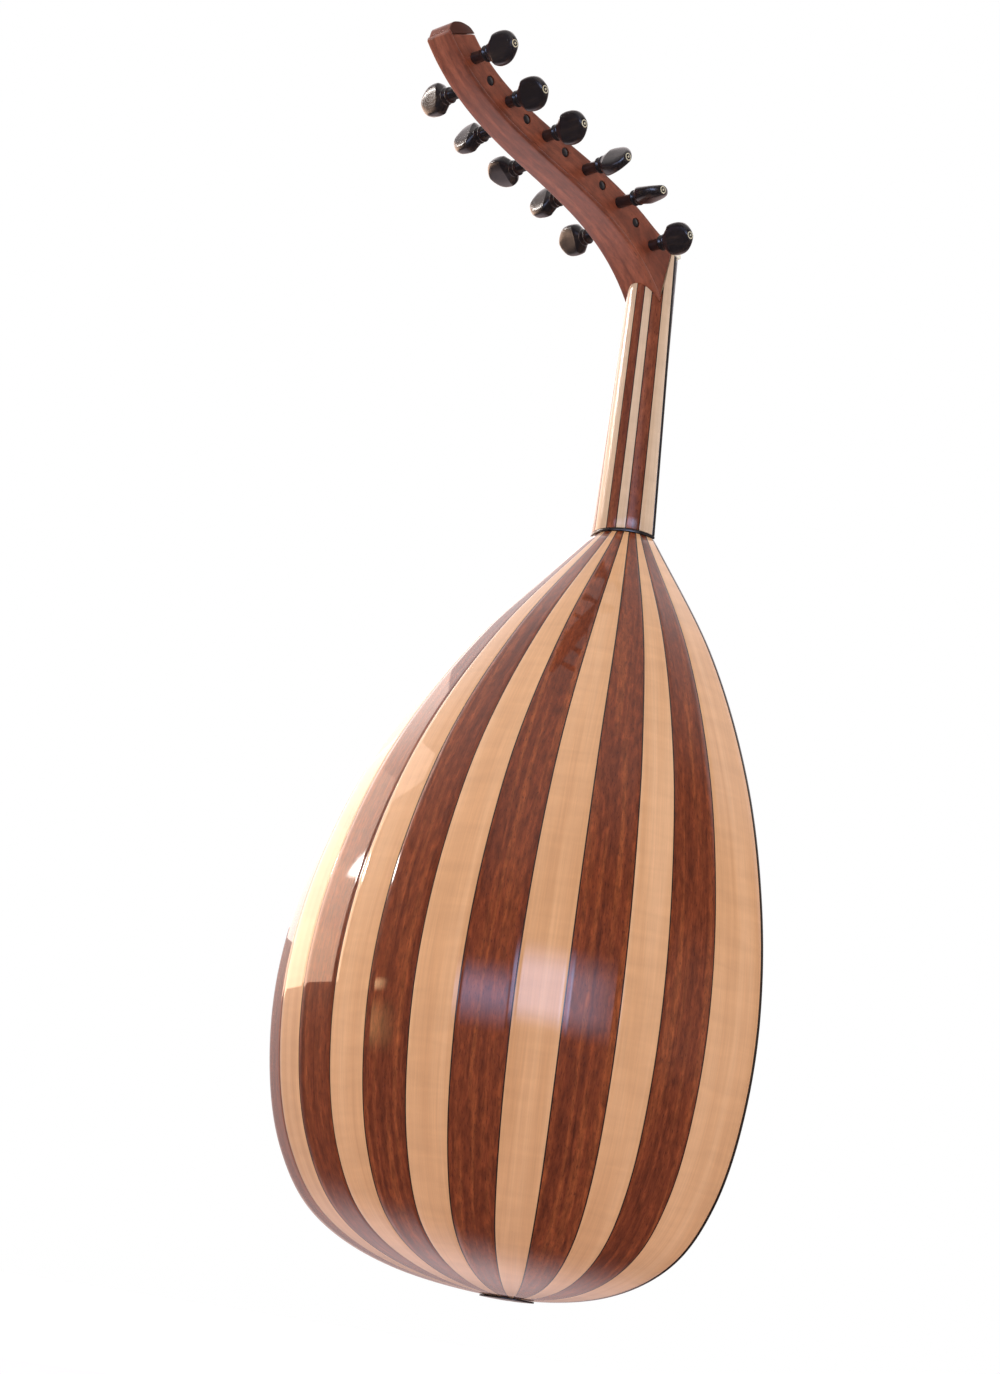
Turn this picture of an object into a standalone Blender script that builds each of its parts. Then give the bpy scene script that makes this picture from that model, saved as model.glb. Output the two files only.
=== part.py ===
"""A short-necked plucked lute with a striped bowl, built piece by piece.

The lute stands upright: +Z runs from the bowl's tail to the pegbox, the soundboard
faces -Y and the bowl swells towards +Y. The origin is the tail, in the plane where
the soundboard meets the ribs. All lengths are in metres.
"""
import math

import bmesh
import bpy
from mathutils import Matrix, Vector

MM = 0.001
CONTACT_GAP = 0.3 * MM

# The bowl's mould: overall sizes, then its plan and side profile. Each list gives the
# outline at equal turns from the tail, where the distance from the tail is
# length * (1 - cos(turn)); the last turn is the neck joint, which the neck's sizes set.
BOWL_LENGTH = 490 * MM
BOWL_WIDTH = 327 * MM
BOWL_DEPTH = 170 * MM
PLAN = (0.0, 0.435, 0.733, 0.897, 0.979, 0.9965, 0.9357, 0.790, 0.533)
PROFILE = (0.0, 0.407, 0.702, 0.870, 0.966, 1.0, 0.948, 0.799, 0.525)
BOWL_FULLNESS = 2.3
NECK_FULLNESS = 2.0
FULLNESS_CHANGE = 0.75

# Ribs from the soundboard's edge to the middle, as widths round the widest section.
RIB_WIDTHS = (39.0, 31.0, 24.0, 30.0, 27.0, 31.0, 28.5, 33.0)
MIDDLE_RIB_WIDTH = 29.5
RIB_THICKNESS = 2.6 * MM
RIB_ROWS = 28
ROW_CROWDING = 1.2
TAIL_HOLE_RADIUS = 7 * MM
END_CAP_THICKNESS = 1.0 * MM
TAIL_BLOCK_HEIGHT = 20 * MM
NECK_BLOCK_LENGTH = 55 * MM

# Soundboard, its edge binding, braces and holes. Places are counted from the neck joint
# towards the tail.
BOARD_THICKNESS = 2.0 * MM
BINDING_WIDTH = 1.6 * MM
BRACE_WIDTH = 6 * MM
BRACE_HEIGHT = 12 * MM
BRACE_END_ROOM = 9 * MM
BRACE_SINK = 0.5 * MM
BRACE_PLACES = (342 * MM, 292 * MM, 228 * MM, 116 * MM, 70 * MM)
MAIN_HOLE_RADIUS = 42 * MM
MAIN_HOLE_PLACE = 172 * MM
SIDE_HOLE_RADIUS = 16 * MM
SIDE_HOLE_PLACE = 258 * MM
SIDE_HOLE_OFFSET = 68 * MM
ROSETTE_THICKNESS = 1.6 * MM
MAIN_HOLE_SIDES = 36
SIDE_HOLE_SIDES = 24

# The rosettes' piercings: one in the middle, then rounds that each hold this many more than
# the one inside it. For each round, how far out and how large, as shares of the hole's radius.
PIERCINGS_PER_ROUND = 6
MAIN_PIERCINGS = ((0.0, 0.13), (0.36, 0.13), (0.72, 0.12))
SIDE_PIERCINGS = ((0.0, 0.22), (0.62, 0.20))
PIERCING_SIDES = 8

# Bridge and plectrum guard on the soundboard.
STRING_LENGTH = 591.5 * MM
BRIDGE_LENGTH = 118 * MM
BRIDGE_WIDTH = 18 * MM
BRIDGE_HEIGHT = 13 * MM
BRIDGE_TAPER = 0.55
STRING_HEIGHT_AT_BRIDGE = 11 * MM
GUARD_THICKNESS = 0.8 * MM
GUARD_WIDTH = 84 * MM
GUARD_LENGTH = 74 * MM
GUARD_GAP_TO_BRIDGE = 22 * MM

# Neck, joint band, veneer, fingerboard and nut.
NECK_LENGTH = 206.9 * MM
NECK_JOINT_WIDTH = 47.3 * MM
NECK_NUT_WIDTH = 28.6 * MM
NECK_JOINT_DEPTH = 22.1 * MM
NECK_NUT_DEPTH = 20.2 * MM
NECK_SET_BACK = 9.0 * MM
NECK_STEPS = 10
JOINT_BAND_THICKNESS = 2.0 * MM
JOINT_BAND_PROUD = 0.4 * MM
VENEER_THICKNESS = 1.2 * MM
FINGERBOARD_THICKNESS = 2.4 * MM
NUT_THICKNESS = 4.5 * MM
NUT_HEIGHT = 4.0 * MM
NUT_SLOPE = 1.5 * MM
NUT_DROP = 1.2 * MM

# Pegbox: its floor line is one curve in the plane x = 0, swept back from the neck. Its two
# ends are given in y and z, with z counted from the neck's end.
FLOOR_START = (15.7 * MM, -38.75 * MM)
FLOOR_END = (231.1 * MM, 49.0 * MM)
FLOOR_START_ANGLE = 47.65
FLOOR_END_ANGLE = 44.4
FLOOR_START_PULL = 87 * MM
FLOOR_END_PULL = 82.4 * MM
FLOOR_STEPS = 26
JOINT_TOP_SET_BACK = 2.2 * MM
PEGBOX_WIDTH_AT_NUT = 25.56 * MM
PEGBOX_TAPER = 0.015
FLOOR_FLARE = 1.9 * MM
FLOOR_FLARE_LENGTH = 80 * MM
WALL_FLARE = 0.5 * MM
WALL_FLARE_LENGTH = 117 * MM
WALL_THICKNESS = 3.6 * MM
WALL_HEIGHT_AT_NUT = 30.0 * MM
WALL_HEIGHT_MIDDLE = 20.3 * MM
WALL_HEIGHT_AT_TIP = 19.7 * MM
WALL_RISE_LENGTH = 20 * MM
BACK_THICKNESS = 2.6 * MM
BACK_OVERHANG = 0.8 * MM
BACK_EDGE_ROUNDING = 1.6 * MM
BACK_END_LEAN = 1.7 * MM
FOOT_HEIGHT = 20.6 * MM
FOOT_LEAN = 2.5 * MM
FOOT_CUT_REACH = 80 * MM

# The pegbox's far end, in millimetres along and over the floor, counted from the floor's
# end: where the walls stop at the floor and at their tops, and the solid block's dome.
WALL_END_LOW = -1.4
WALL_END_HIGH = -9.7
TIP_DOME = ((1.7, 0.0), (4.6, 4.7), (3.9, 9.2), (1.7, 13.5), (-3.2, 17.9), (-9.1, 19.4))
TONGUE_LENGTH = 14 * MM
TONGUE_HEIGHT = 17 * MM
TONGUE_OVERLAP = 2 * MM

# Pegs: tapered pins across the box, heads on alternate sides. Each has its own place along
# the floor and its own reach from the middle to the head's end, in millimetres.
PEG_RUNS = (29.8, 47.6, 64.9, 81.8, 98.3, 118.4, 137.3, 156.5, 174.8, 195.0, 214.1)
PEG_REACHES = (46.7, 55.4, 50.3, 52.2, 48.5, 56.6, 44.3, 53.8, 41.9, 51.2, 45.0)
PEG_TURNS = (68, 58, 158, 97, 115, 30, 68, 101, 60, 78, 74)
PEG_COUNT = len(PEG_RUNS)
PEG_HEIGHT_AT_NUT = 16.1 * MM
PEG_HEIGHT_FALL = 0.033
PEG_RADIUS_AT_HEAD = 3.8 * MM
PEG_RADIUS_AT_TIP = 3.1 * MM
PEG_HOLE_CLEARANCE = 0.3 * MM
PEG_HOLE_OVERLAP = 2 * MM
PEG_HEAD_LENGTH = 20.5 * MM
PEG_HEAD_HALF_WIDTH = 9.9 * MM
PEG_HEAD_HALF_THICKNESS = 4.3 * MM
PEG_HEAD_STATIONS = (22, 48, 76, 104, 130, 152, 168)
PEG_HEAD_END = (2.6 * MM, 2.4 * MM)
PEG_COLLAR = ((4.2 * MM, 0.98), (3.4 * MM, 1.3), (1.6 * MM, 1.3))
PEG_SIDES = 12

# Strings: one single bass and five pairs, with the thickness of each course.
COURSE_GAUGES = (1.1 * MM, 1.0 * MM, 0.9 * MM, 0.8 * MM, 0.7 * MM, 0.6 * MM)
COURSE_STEP_AT_BRIDGE = 15.2 * MM
COURSE_STEP_AT_NUT = 4.2 * MM
PAIR_HALF_GAP_AT_BRIDGE = 1.9 * MM
PAIR_HALF_GAP_AT_NUT = 0.9 * MM
STRING_NARROWING = 0.72
WINDING_TURNS = 2
WINDING_POINTS = 12
WINDING_STEP = 1.55 * MM
STRING_PASS_HEIGHT = 6.5 * MM


def clear_scene():
    """Remove whatever the scene starts with."""
    for item in list(bpy.data.objects):
        bpy.data.objects.remove(item, do_unlink=True)


def make_collection(name):
    """Add a collection to the scene."""
    collection = bpy.data.collections.new(name)
    bpy.context.scene.collection.children.link(collection)
    return collection


clear_scene()
PARTS = make_collection("turkish_oud")
CUTTERS = make_collection("cutters")


def make_material(name, colour, roughness, metallic=0.0):
    """A plain Principled material in the piece's own colour."""
    material = bpy.data.materials.new(name)
    material.use_nodes = True
    shader = material.node_tree.nodes["Principled BSDF"]
    shader.inputs["Base Color"].default_value = (*colour, 1.0)
    shader.inputs["Roughness"].default_value = roughness
    shader.inputs["Metallic"].default_value = metallic
    material.diffuse_color = (*colour, 1.0)
    return material


MAPLE = make_material("lacquered_maple", (0.74, 0.48, 0.26), 0.15)
MAHOGANY = make_material("lacquered_mahogany", (0.22, 0.055, 0.028), 0.15)
PEGBOX_WOOD = make_material("pegbox_mahogany", (0.30, 0.095, 0.055), 0.4)
EBONY = make_material("ebony", (0.020, 0.016, 0.017), 0.35)
SPRUCE = make_material("spruce", (0.72, 0.50, 0.28), 0.4)
BONE = make_material("bone", (0.80, 0.74, 0.60), 0.4)
PURFLING = make_material("dark_binding", (0.035, 0.022, 0.020), 0.3)
PALE_WOOD = make_material("linden", (0.66, 0.50, 0.32), 0.6)
NYLON = make_material("string", (0.62, 0.58, 0.50), 0.35)


def add_piece(name, mesh, material, smooth_angle=None):
    """Put a finished mesh into the parts collection under its own name."""
    piece = bpy.data.objects.new(name, mesh)
    mesh.materials.clear()
    mesh.materials.append(material)
    if smooth_angle is not None:
        mesh.shade_smooth()
        mesh.set_sharp_from_angle(angle=math.radians(smooth_angle))
    PARTS.objects.link(piece)
    return piece


def loft(name, rings, caps=True, closed=True):
    """A mesh through rings with equal point counts; capped ends make it a solid."""
    mesh = bpy.data.meshes.new(name)
    bm = bmesh.new()
    rows = [[bm.verts.new(point) for point in ring] for ring in rings]
    count = len(rows[0])
    steps = count if closed else count - 1
    for lower, upper in zip(rows, rows[1:]):
        for i in range(steps):
            j = (i + 1) % count
            bm.faces.new((lower[i], lower[j], upper[j], upper[i]))
    if caps:
        bm.faces.new(list(reversed(rows[0])))
        bm.faces.new(rows[-1])
    bmesh.ops.remove_doubles(bm, verts=bm.verts, dist=1e-6)
    bmesh.ops.recalc_face_normals(bm, faces=bm.faces)
    bm.to_mesh(mesh)
    bm.free()
    return mesh


def add_cutter(name, mesh):
    """An object that only cuts or joins."""
    cutter = bpy.data.objects.new(name, mesh)
    CUTTERS.objects.link(cutter)
    cutter.hide_render = True
    cutter.display_type = "WIRE"
    return cutter


def boolean(piece, cutter, operation="DIFFERENCE"):
    """Add a Boolean modifier with the cutter object."""
    modifier = piece.modifiers.new(cutter.name, "BOOLEAN")
    modifier.operation = operation
    modifier.object = cutter
    modifier.solver = "EXACT"


def box_mesh(name, centre, size):
    """A box as a mesh, from a unit cube."""
    mesh = bpy.data.meshes.new(name)
    bm = bmesh.new()
    bmesh.ops.create_cube(bm, size=1.0)
    bmesh.ops.scale(bm, vec=size, verts=bm.verts)
    bmesh.ops.translate(bm, vec=centre, verts=bm.verts)
    bm.to_mesh(mesh)
    bm.free()
    return mesh


def rod_mesh(name, centre, length, radius_low, radius_high, axis, sides):
    """A cylinder or cone along X or Y, as a mesh; low is the end at the smaller coordinate."""
    mesh = bpy.data.meshes.new(name)
    bm = bmesh.new()
    turn = Matrix.Rotation(math.radians(90), 4, "Y")
    if axis == "Y":
        turn = Matrix.Rotation(math.radians(-90), 4, "X")
    place = Matrix.Translation(centre) @ turn
    bmesh.ops.create_cone(bm, cap_ends=True, segments=sides, radius1=radius_low,
                          radius2=radius_high, depth=length, matrix=place)
    bm.to_mesh(mesh)
    bm.free()
    return mesh


def flat_outline_mesh(name, outlines, thickness, front):
    """Flat outlines in x and z, made solid from y = front towards the back.

    The first outline is the rim, and the others are holes in it.
    """
    curve = bpy.data.curves.new(name, "CURVE")
    curve.dimensions = "2D"
    curve.fill_mode = "BOTH"
    curve.extrude = thickness / 2
    for points in outlines:
        spline = curve.splines.new("POLY")
        spline.points.add(len(points) - 1)
        for target, (x, z) in zip(spline.points, points):
            target.co = (x, z, 0.0, 1.0)
        spline.use_cyclic_u = True
    holder = bpy.data.objects.new(name, curve)
    CUTTERS.objects.link(holder)
    upright = Matrix.Rotation(math.radians(90), 4, "X")
    holder.matrix_world = Matrix.Translation((0, front + thickness / 2, 0)) @ upright
    bpy.context.view_layer.update()
    evaluated = holder.evaluated_get(bpy.context.evaluated_depsgraph_get())
    mesh = bpy.data.meshes.new_from_object(evaluated)
    mesh.transform(holder.matrix_world)
    bm = bmesh.new()
    bm.from_mesh(mesh)
    bmesh.ops.remove_doubles(bm, verts=bm.verts, dist=1e-6)
    bmesh.ops.recalc_face_normals(bm, faces=bm.faces)
    bm.to_mesh(mesh)
    bm.free()
    bpy.data.objects.remove(holder, do_unlink=True)
    return mesh


def through_stations(values, turn):
    """A smooth curve through equally spaced stations, odd about its first one."""
    last = len(values) - 1
    place = min(max(turn, 0.0), 1.0) * last
    i = min(int(place), last - 1)
    u = place - i
    before = values[i - 1] if i > 0 else -values[1]
    here = values[i]
    there = values[i + 1]
    after = values[i + 2] if i + 2 <= last else 2 * there - here
    slope_here = (there - before) / 2
    slope_there = (after - here) / 2
    return (here * (2 * u ** 3 - 3 * u ** 2 + 1) + there * (3 * u ** 2 - 2 * u ** 3)
            + slope_here * (u ** 3 - 2 * u ** 2 + u) + slope_there * (u ** 3 - u ** 2))


PLAN_STATIONS = [share * BOWL_WIDTH / 2 for share in PLAN] + [NECK_JOINT_WIDTH / 2]
PROFILE_STATIONS = [share * BOWL_DEPTH for share in PROFILE] + [NECK_JOINT_DEPTH]


def bowl_half_width(turn):
    """Half the bowl's width at a turn from the tail (0) to the neck joint (1)."""
    return through_stations(PLAN_STATIONS, turn)


def bowl_height(turn):
    """Distance from the tail along the lute."""
    return BOWL_LENGTH * (1 - math.cos(turn * math.pi / 2))


def turn_at_height(height):
    """The turn at a distance from the tail."""
    return math.acos(1 - height / BOWL_LENGTH) * 2 / math.pi


def turn_at_half_width(width):
    """The turn near the tail where the bowl is this wide to one side."""
    low, high = 0.0, 0.4
    for _ in range(40):
        middle = (low + high) / 2
        if bowl_half_width(middle) < width:
            low = middle
        else:
            high = middle
    return low


def fullness(turn):
    """How square the section is; it eases to the neck's round back."""
    ease = max(0.0, (turn - FULLNESS_CHANGE) / (1 - FULLNESS_CHANGE))
    return BOWL_FULLNESS + (NECK_FULLNESS - BOWL_FULLNESS) * ease


def section_point(half_width, depth, power, angle):
    """A point of the rounded half section; the angle runs from -X over the back to +X."""
    c = math.cos(angle)
    s = math.sin(angle)
    reach = (abs(c) ** power + abs(s) ** power) ** (-1 / power)
    return -half_width * c * reach, depth * s * reach


def bowl_point(turn, angle):
    """A point of the bowl's outer surface."""
    depth = through_stations(PROFILE_STATIONS, turn)
    x, y = section_point(bowl_half_width(turn), depth, fullness(turn), angle)
    return Vector((x, y, bowl_height(turn)))


def bowl_normal(turn, angle):
    """The outward direction there; near the rim it stays in the soundboard's plane."""
    small = 1e-4
    low = max(turn, 2 * small)
    along = bowl_point(min(low + small, 1.0), angle) - bowl_point(low - small, angle)
    a = min(max(angle, small), math.pi - small)
    across = bowl_point(low, a + small) - bowl_point(low, a - small)
    normal = across.cross(along)
    normal.normalize()
    if angle < small or angle > math.pi - small:
        normal.y = 0.0
        normal.normalize()
    if normal.dot(bowl_point(low, angle) - Vector((0, 0, BOWL_LENGTH / 2))) < 0:
        normal.negate()
    return normal


def bowl_inset(turn, angle, depth):
    """A point at a depth under the bowl's outer surface."""
    return bowl_point(turn, angle) - bowl_normal(turn, angle) * depth


def seam_angles():
    """Angles of all rib edges, from the left rim round the back to the right rim."""
    widths = list(RIB_WIDTHS) + [MIDDLE_RIB_WIDTH] + list(reversed(RIB_WIDTHS))
    total = sum(widths)
    angles = [0.0]
    for width in widths:
        angles.append(angles[-1] + math.pi * width / total)
    return angles


def rib_turns():
    """The rows across all ribs, closer together towards the tail."""
    start = turn_at_half_width(TAIL_HOLE_RADIUS)
    return [start + (1 - start) * (i / RIB_ROWS) ** ROW_CROWDING for i in range(RIB_ROWS + 1)]


SEAMS = seam_angles()
RIB_TURNS = rib_turns()


def make_ribs():
    """The bowl's ribs: flat across, bent along the mould, alternately maple and mahogany."""
    angles = SEAMS
    for number, (first, last) in enumerate(zip(angles, angles[1:]), start=1):
        rings = []
        for turn in RIB_TURNS:
            edge_a = bowl_point(turn, first)
            edge_b = bowl_point(turn, last)
            across = (edge_b - edge_a).normalized() * CONTACT_GAP / 2
            edge_a = edge_a + (across if number > 1 else Vector())
            edge_b = edge_b - (across if number < len(angles) - 1 else Vector())
            inner_b = edge_b - bowl_normal(turn, last) * RIB_THICKNESS
            inner_a = edge_a - bowl_normal(turn, first) * RIB_THICKNESS
            rings.append((edge_a, edge_b, inner_b, inner_a))
        material = MAPLE if number % 2 else MAHOGANY
        add_piece("rib_%02d" % number, loft("rib_%02d" % number, rings), material, 30)


def half_section_ring(turn, depth, height=None):
    """A closed half-section at a depth under the ribs' corners, flat along the rim."""
    ring = []
    for angle in SEAMS:
        point = bowl_inset(turn, angle, depth)
        if height is not None:
            point.z = height
        point.y = max(point.y, 0.0)
        ring.append(point)
    return ring


def make_end_cap():
    """The thin cap that covers the rib ends at the tail."""
    rows = (RIB_TURNS[0] * 0.4, RIB_TURNS[0], RIB_TURNS[1])
    under = [half_section_ring(turn, -CONTACT_GAP) for turn in rows]
    over = [half_section_ring(turn, -CONTACT_GAP - END_CAP_THICKNESS) for turn in rows]
    add_piece("end_cap", loft("end_cap", under + list(reversed(over))), EBONY, 40)


def make_blocks():
    """The glued blocks inside the bowl at the tail and at the neck."""
    inside = RIB_THICKNESS + CONTACT_GAP
    rows = [turn for turn in RIB_TURNS if bowl_height(turn) < TAIL_BLOCK_HEIGHT / 2]
    rings = [half_section_ring(turn, inside) for turn in rows]
    rings.append(half_section_ring(rows[-1], inside, height=TAIL_BLOCK_HEIGHT))
    add_piece("tail_block", loft("tail_block", rings), PALE_WOOD)
    rows = [turn for turn in RIB_TURNS if bowl_height(turn) > BOWL_LENGTH - NECK_BLOCK_LENGTH]
    rings = [half_section_ring(turn, inside) for turn in rows]
    add_piece("neck_block", loft("neck_block", rings), PALE_WOOD)


def board_outline(inset, steps=40):
    """The soundboard's outline in x and z, pulled in from the bowl's edge."""
    side = []
    start = turn_at_half_width(inset * 2)
    for i in range(steps + 1):
        turn = start + (1 - start) * i / steps
        point = bowl_inset(turn, 0.0, inset)
        side.append((point.x, min(point.z, BOWL_LENGTH - CONTACT_GAP)))
    return side + [(-x, z) for x, z in reversed(side)]


def make_soundboard():
    """The spruce front with its holes, and the braces glued behind it."""
    outline = board_outline(BINDING_WIDTH + CONTACT_GAP)
    sheet = flat_outline_mesh("soundboard", [outline], BOARD_THICKNESS, BOARD_FRONT)
    board = add_piece("soundboard", sheet, SPRUCE)
    for i, place in enumerate(BRACE_PLACES):
        z = BOWL_LENGTH - place
        half = bowl_half_width(turn_at_height(z)) - BRACE_END_ROOM
        centre = (0, BOARD_FRONT + BOARD_THICKNESS + BRACE_HEIGHT / 2 - BRACE_SINK, z)
        brace = add_cutter("brace_%d" % i, box_mesh("brace", centre, (2 * half, BRACE_HEIGHT, BRACE_WIDTH)))
        boolean(board, brace, "UNION")
    middle = BOARD_FRONT + BOARD_THICKNESS / 2
    for name, x, z, radius, sides, _ in HOLES:
        hole = rod_mesh(name, (x, middle, z), 3 * BOARD_THICKNESS, radius, radius, "Y", sides)
        boolean(board, add_cutter(name + "_hole", hole))


def make_binding():
    """The dark strip round the soundboard's edge, open at the neck."""
    outer = board_outline(0.0)
    inner = board_outline(BINDING_WIDTH)
    rings = []
    for (xo, zo), (xi, zi) in zip(outer, inner):
        low = BOARD_FRONT
        high = BOARD_FRONT + BOARD_THICKNESS
        rings.append(((xo, low, zo), (xo, high, zo), (xi, high, zi), (xi, low, zi)))
    add_piece("edge_binding", loft("edge_binding", rings), PURFLING)


def even_outline(x, z, radius, sides):
    """Corners of an even outline round a place in x and z, the first one straight below it."""
    points = []
    for i in range(sides):
        angle = 2 * math.pi * i / sides
        points.append((x + radius * math.sin(angle), z - radius * math.cos(angle)))
    return points


def make_rosette(name, x, z, radius, sides, rounds):
    """A pierced disc that sits inside a sound hole, flush with the soundboard."""
    outlines = [even_outline(x, z, radius - CONTACT_GAP, sides)]
    for ring, (at, share) in enumerate(rounds):
        count = max(1, PIERCINGS_PER_ROUND * ring)
        for i in range(count):
            angle = 2 * math.pi * (i + 0.5 * (ring % 2)) / count
            centre_x = x + at * radius * math.cos(angle)
            centre_z = z + at * radius * math.sin(angle)
            outlines.append(even_outline(centre_x, centre_z, share * radius, PIERCING_SIDES))
    mesh = flat_outline_mesh(name, outlines, ROSETTE_THICKNESS, BOARD_FRONT)
    add_piece(name, mesh, PALE_WOOD)


def make_bridge():
    """The glued bridge: a bar that narrows towards its ends, with a sloping back."""
    front = BOARD_FRONT - CONTACT_GAP
    rings = []
    half = BRIDGE_LENGTH / 2
    for share in (-1.0, -0.86, -0.6, 0.0, 0.6, 0.86, 1.0):
        ease = math.sqrt(max(0.0, 1 - share * share))
        height = BRIDGE_HEIGHT * (1 - BRIDGE_TAPER * (1 - ease))
        depth = BRIDGE_WIDTH * (1 - 0.35 * (1 - ease))
        x = share * half
        top = BRIDGE_PLACE
        rings.append(((x, front, top), (x, front - height, top), (x, front - height, top - 0.45 * depth),
                      (x, front - 0.35 * height, top - depth), (x, front, top - depth)))
    add_piece("bridge", loft("bridge", rings), EBONY)


def make_guard():
    """The thin plectrum guard between the bridge and the main hole."""
    low = BRIDGE_PLACE + GUARD_GAP_TO_BRIDGE
    points = []
    steps = 28
    for i in range(steps):
        angle = 2 * math.pi * i / steps
        x = GUARD_WIDTH / 2 * math.sin(angle) * (1 - 0.18 * math.cos(angle))
        z = low + GUARD_LENGTH / 2 * (1 - math.cos(angle))
        points.append((x, z))
    front = BOARD_FRONT - CONTACT_GAP - GUARD_THICKNESS
    mesh = flat_outline_mesh("plectrum_guard", [points], GUARD_THICKNESS, front)
    add_piece("plectrum_guard", mesh, EBONY)


def neck_share(z):
    """0 at the neck joint, 1 at the nut's far side."""
    return (z - BOWL_LENGTH) / NECK_LENGTH


def neck_half_width(z):
    """Half the neck's width."""
    return (NECK_JOINT_WIDTH + (NECK_NUT_WIDTH - NECK_JOINT_WIDTH) * neck_share(z)) / 2


def neck_front(z):
    """Where the neck wood meets the fingerboard; it leans back towards the nut."""
    return NECK_SET_BACK * neck_share(z)


def neck_depth(z):
    """The neck's depth behind that plane."""
    return NECK_JOINT_DEPTH + (NECK_NUT_DEPTH - NECK_JOINT_DEPTH) * neck_share(z)


def neck_ring(z, inset, steps=16):
    """The neck's round back at a height, from the left edge to the right."""
    ring = []
    half = neck_half_width(z) - inset
    depth = neck_depth(z) - inset
    for i in range(steps + 1):
        x, y = section_point(half, depth, NECK_FULLNESS, math.pi * i / steps)
        ring.append(Vector((x, neck_front(z) + y, z)))
    return ring


NUT_TOP = BOWL_LENGTH + NECK_LENGTH


def floor_curve(u):
    """The pegbox floor line in y and z, and its direction, at a share of its parameter."""
    start = Vector(FLOOR_START) + Vector((0, NUT_TOP))
    end = Vector(FLOOR_END) + Vector((0, NUT_TOP))
    a = math.radians(FLOOR_START_ANGLE)
    b = math.radians(FLOOR_END_ANGLE)
    one = start + Vector((math.cos(a), math.sin(a))) * FLOOR_START_PULL
    two = end - Vector((math.cos(b), math.sin(b))) * FLOOR_END_PULL
    v = 1 - u
    point = v ** 3 * start + 3 * v * v * u * one + 3 * v * u * u * two + u ** 3 * end
    slope = 3 * (v * v * (one - start) + 2 * v * u * (two - one) + u * u * (end - two))
    return point, slope.normalized()


def floor_table(steps=400):
    """Points, directions and run lengths along the floor line."""
    table = []
    run = 0.0
    last = None
    for i in range(steps + 1):
        point, slope = floor_curve(i / steps)
        if last is not None:
            run += (point - last).length
        table.append((run, point, slope))
        last = point
    return table


FLOOR = floor_table()
FLOOR_LENGTH = FLOOR[-1][0]
FLOOR_RUNS = [FLOOR_LENGTH * i / FLOOR_STEPS for i in range(FLOOR_STEPS + 1)]


def in_box(run, height):
    """A place in y and z at a run along the pegbox floor and a height over it."""
    if run >= FLOOR_LENGTH:
        distance, point, slope = FLOOR[-1]
    elif run <= 0:
        distance, point, slope = FLOOR[0]
    else:
        index = next(i for i, row in enumerate(FLOOR) if row[0] >= run)
        distance, point, slope = FLOOR[index]
    up = Vector((-slope.y, slope.x))
    return point + slope * (run - distance) + up * height


def box_place(place):
    """The run along the floor and the height over it of a place in y and z."""
    best = FLOOR[0]
    for row in FLOOR:
        if abs((place - row[1]).dot(row[2])) < abs((place - best[1]).dot(best[2])):
            best = row
    run, point, slope = best
    away = place - point
    return run + away.dot(slope), away.dot(Vector((-slope.y, slope.x)))


def floor_half_width(y):
    """Half the pegbox's outer width at its floor; it widens to meet the neck."""
    near = max(0.0, 1 - y / FLOOR_FLARE_LENGTH)
    return PEGBOX_WIDTH_AT_NUT / 2 - PEGBOX_TAPER * y + FLOOR_FLARE * near * near


def wall_reach(place):
    """Half the pegbox's outer width at a place; near the nut the walls lean outwards."""
    run, height = box_place(place)
    near = max(0.0, 1 - max(run, 0.0) / WALL_FLARE_LENGTH)
    return floor_half_width(place.x) + WALL_FLARE * near * near * height / WALL_HEIGHT_AT_NUT


def inside_reach(place):
    """Half the width between the walls, less the gap of a glued face."""
    return wall_reach(place) - WALL_THICKNESS - CONTACT_GAP


def wall_curve(run):
    """The even curve of the walls' height through its three heights."""
    u = run / FLOOR_LENGTH
    return (WALL_HEIGHT_AT_NUT * (1 - u) * (1 - 2 * u) + WALL_HEIGHT_MIDDLE * 4 * u * (1 - u)
            + WALL_HEIGHT_AT_TIP * u * (2 * u - 1))


def wall_height(run):
    """The height of the side walls over the floor; close to the nut they rise to meet it."""
    near = max(0.0, 1 - (run - JOINT_PLACE[0]) / WALL_RISE_LENGTH)
    return wall_curve(run) + (JOINT_PLACE[1] - wall_curve(JOINT_PLACE[0])) * near * near


def wall_end(height):
    """Where the walls end before the floor's end, at a height over the floor."""
    share = height / WALL_HEIGHT_AT_TIP
    return (WALL_END_LOW + (WALL_END_HIGH - WALL_END_LOW) * share) * MM


def tip_profile():
    """The rounded end of the pegbox in y and z, from the floor over the dome."""
    return [in_box(FLOOR_LENGTH + run * MM, height * MM + CONTACT_GAP) for run, height in TIP_DOME]


BOARD_FRONT = -CONTACT_GAP - BOARD_THICKNESS
BRIDGE_PLACE = NUT_TOP - STRING_LENGTH
JOINT_CORNER = FLOOR[0][1]
JOINT_TOP = Vector((neck_front(NUT_TOP) + JOINT_TOP_SET_BACK, NUT_TOP))
JOINT_PLACE = box_place(JOINT_TOP)
MAIN_HOLE = (BOWL_LENGTH - MAIN_HOLE_PLACE, MAIN_HOLE_RADIUS, MAIN_HOLE_SIDES, MAIN_PIERCINGS)
SIDE_HOLE = (BOWL_LENGTH - SIDE_HOLE_PLACE, SIDE_HOLE_RADIUS, SIDE_HOLE_SIDES, SIDE_PIERCINGS)
HOLES = (("rosette_main", 0.0, *MAIN_HOLE),
         ("rosette_left", -SIDE_HOLE_OFFSET, *SIDE_HOLE),
         ("rosette_right", SIDE_HOLE_OFFSET, *SIDE_HOLE))


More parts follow.
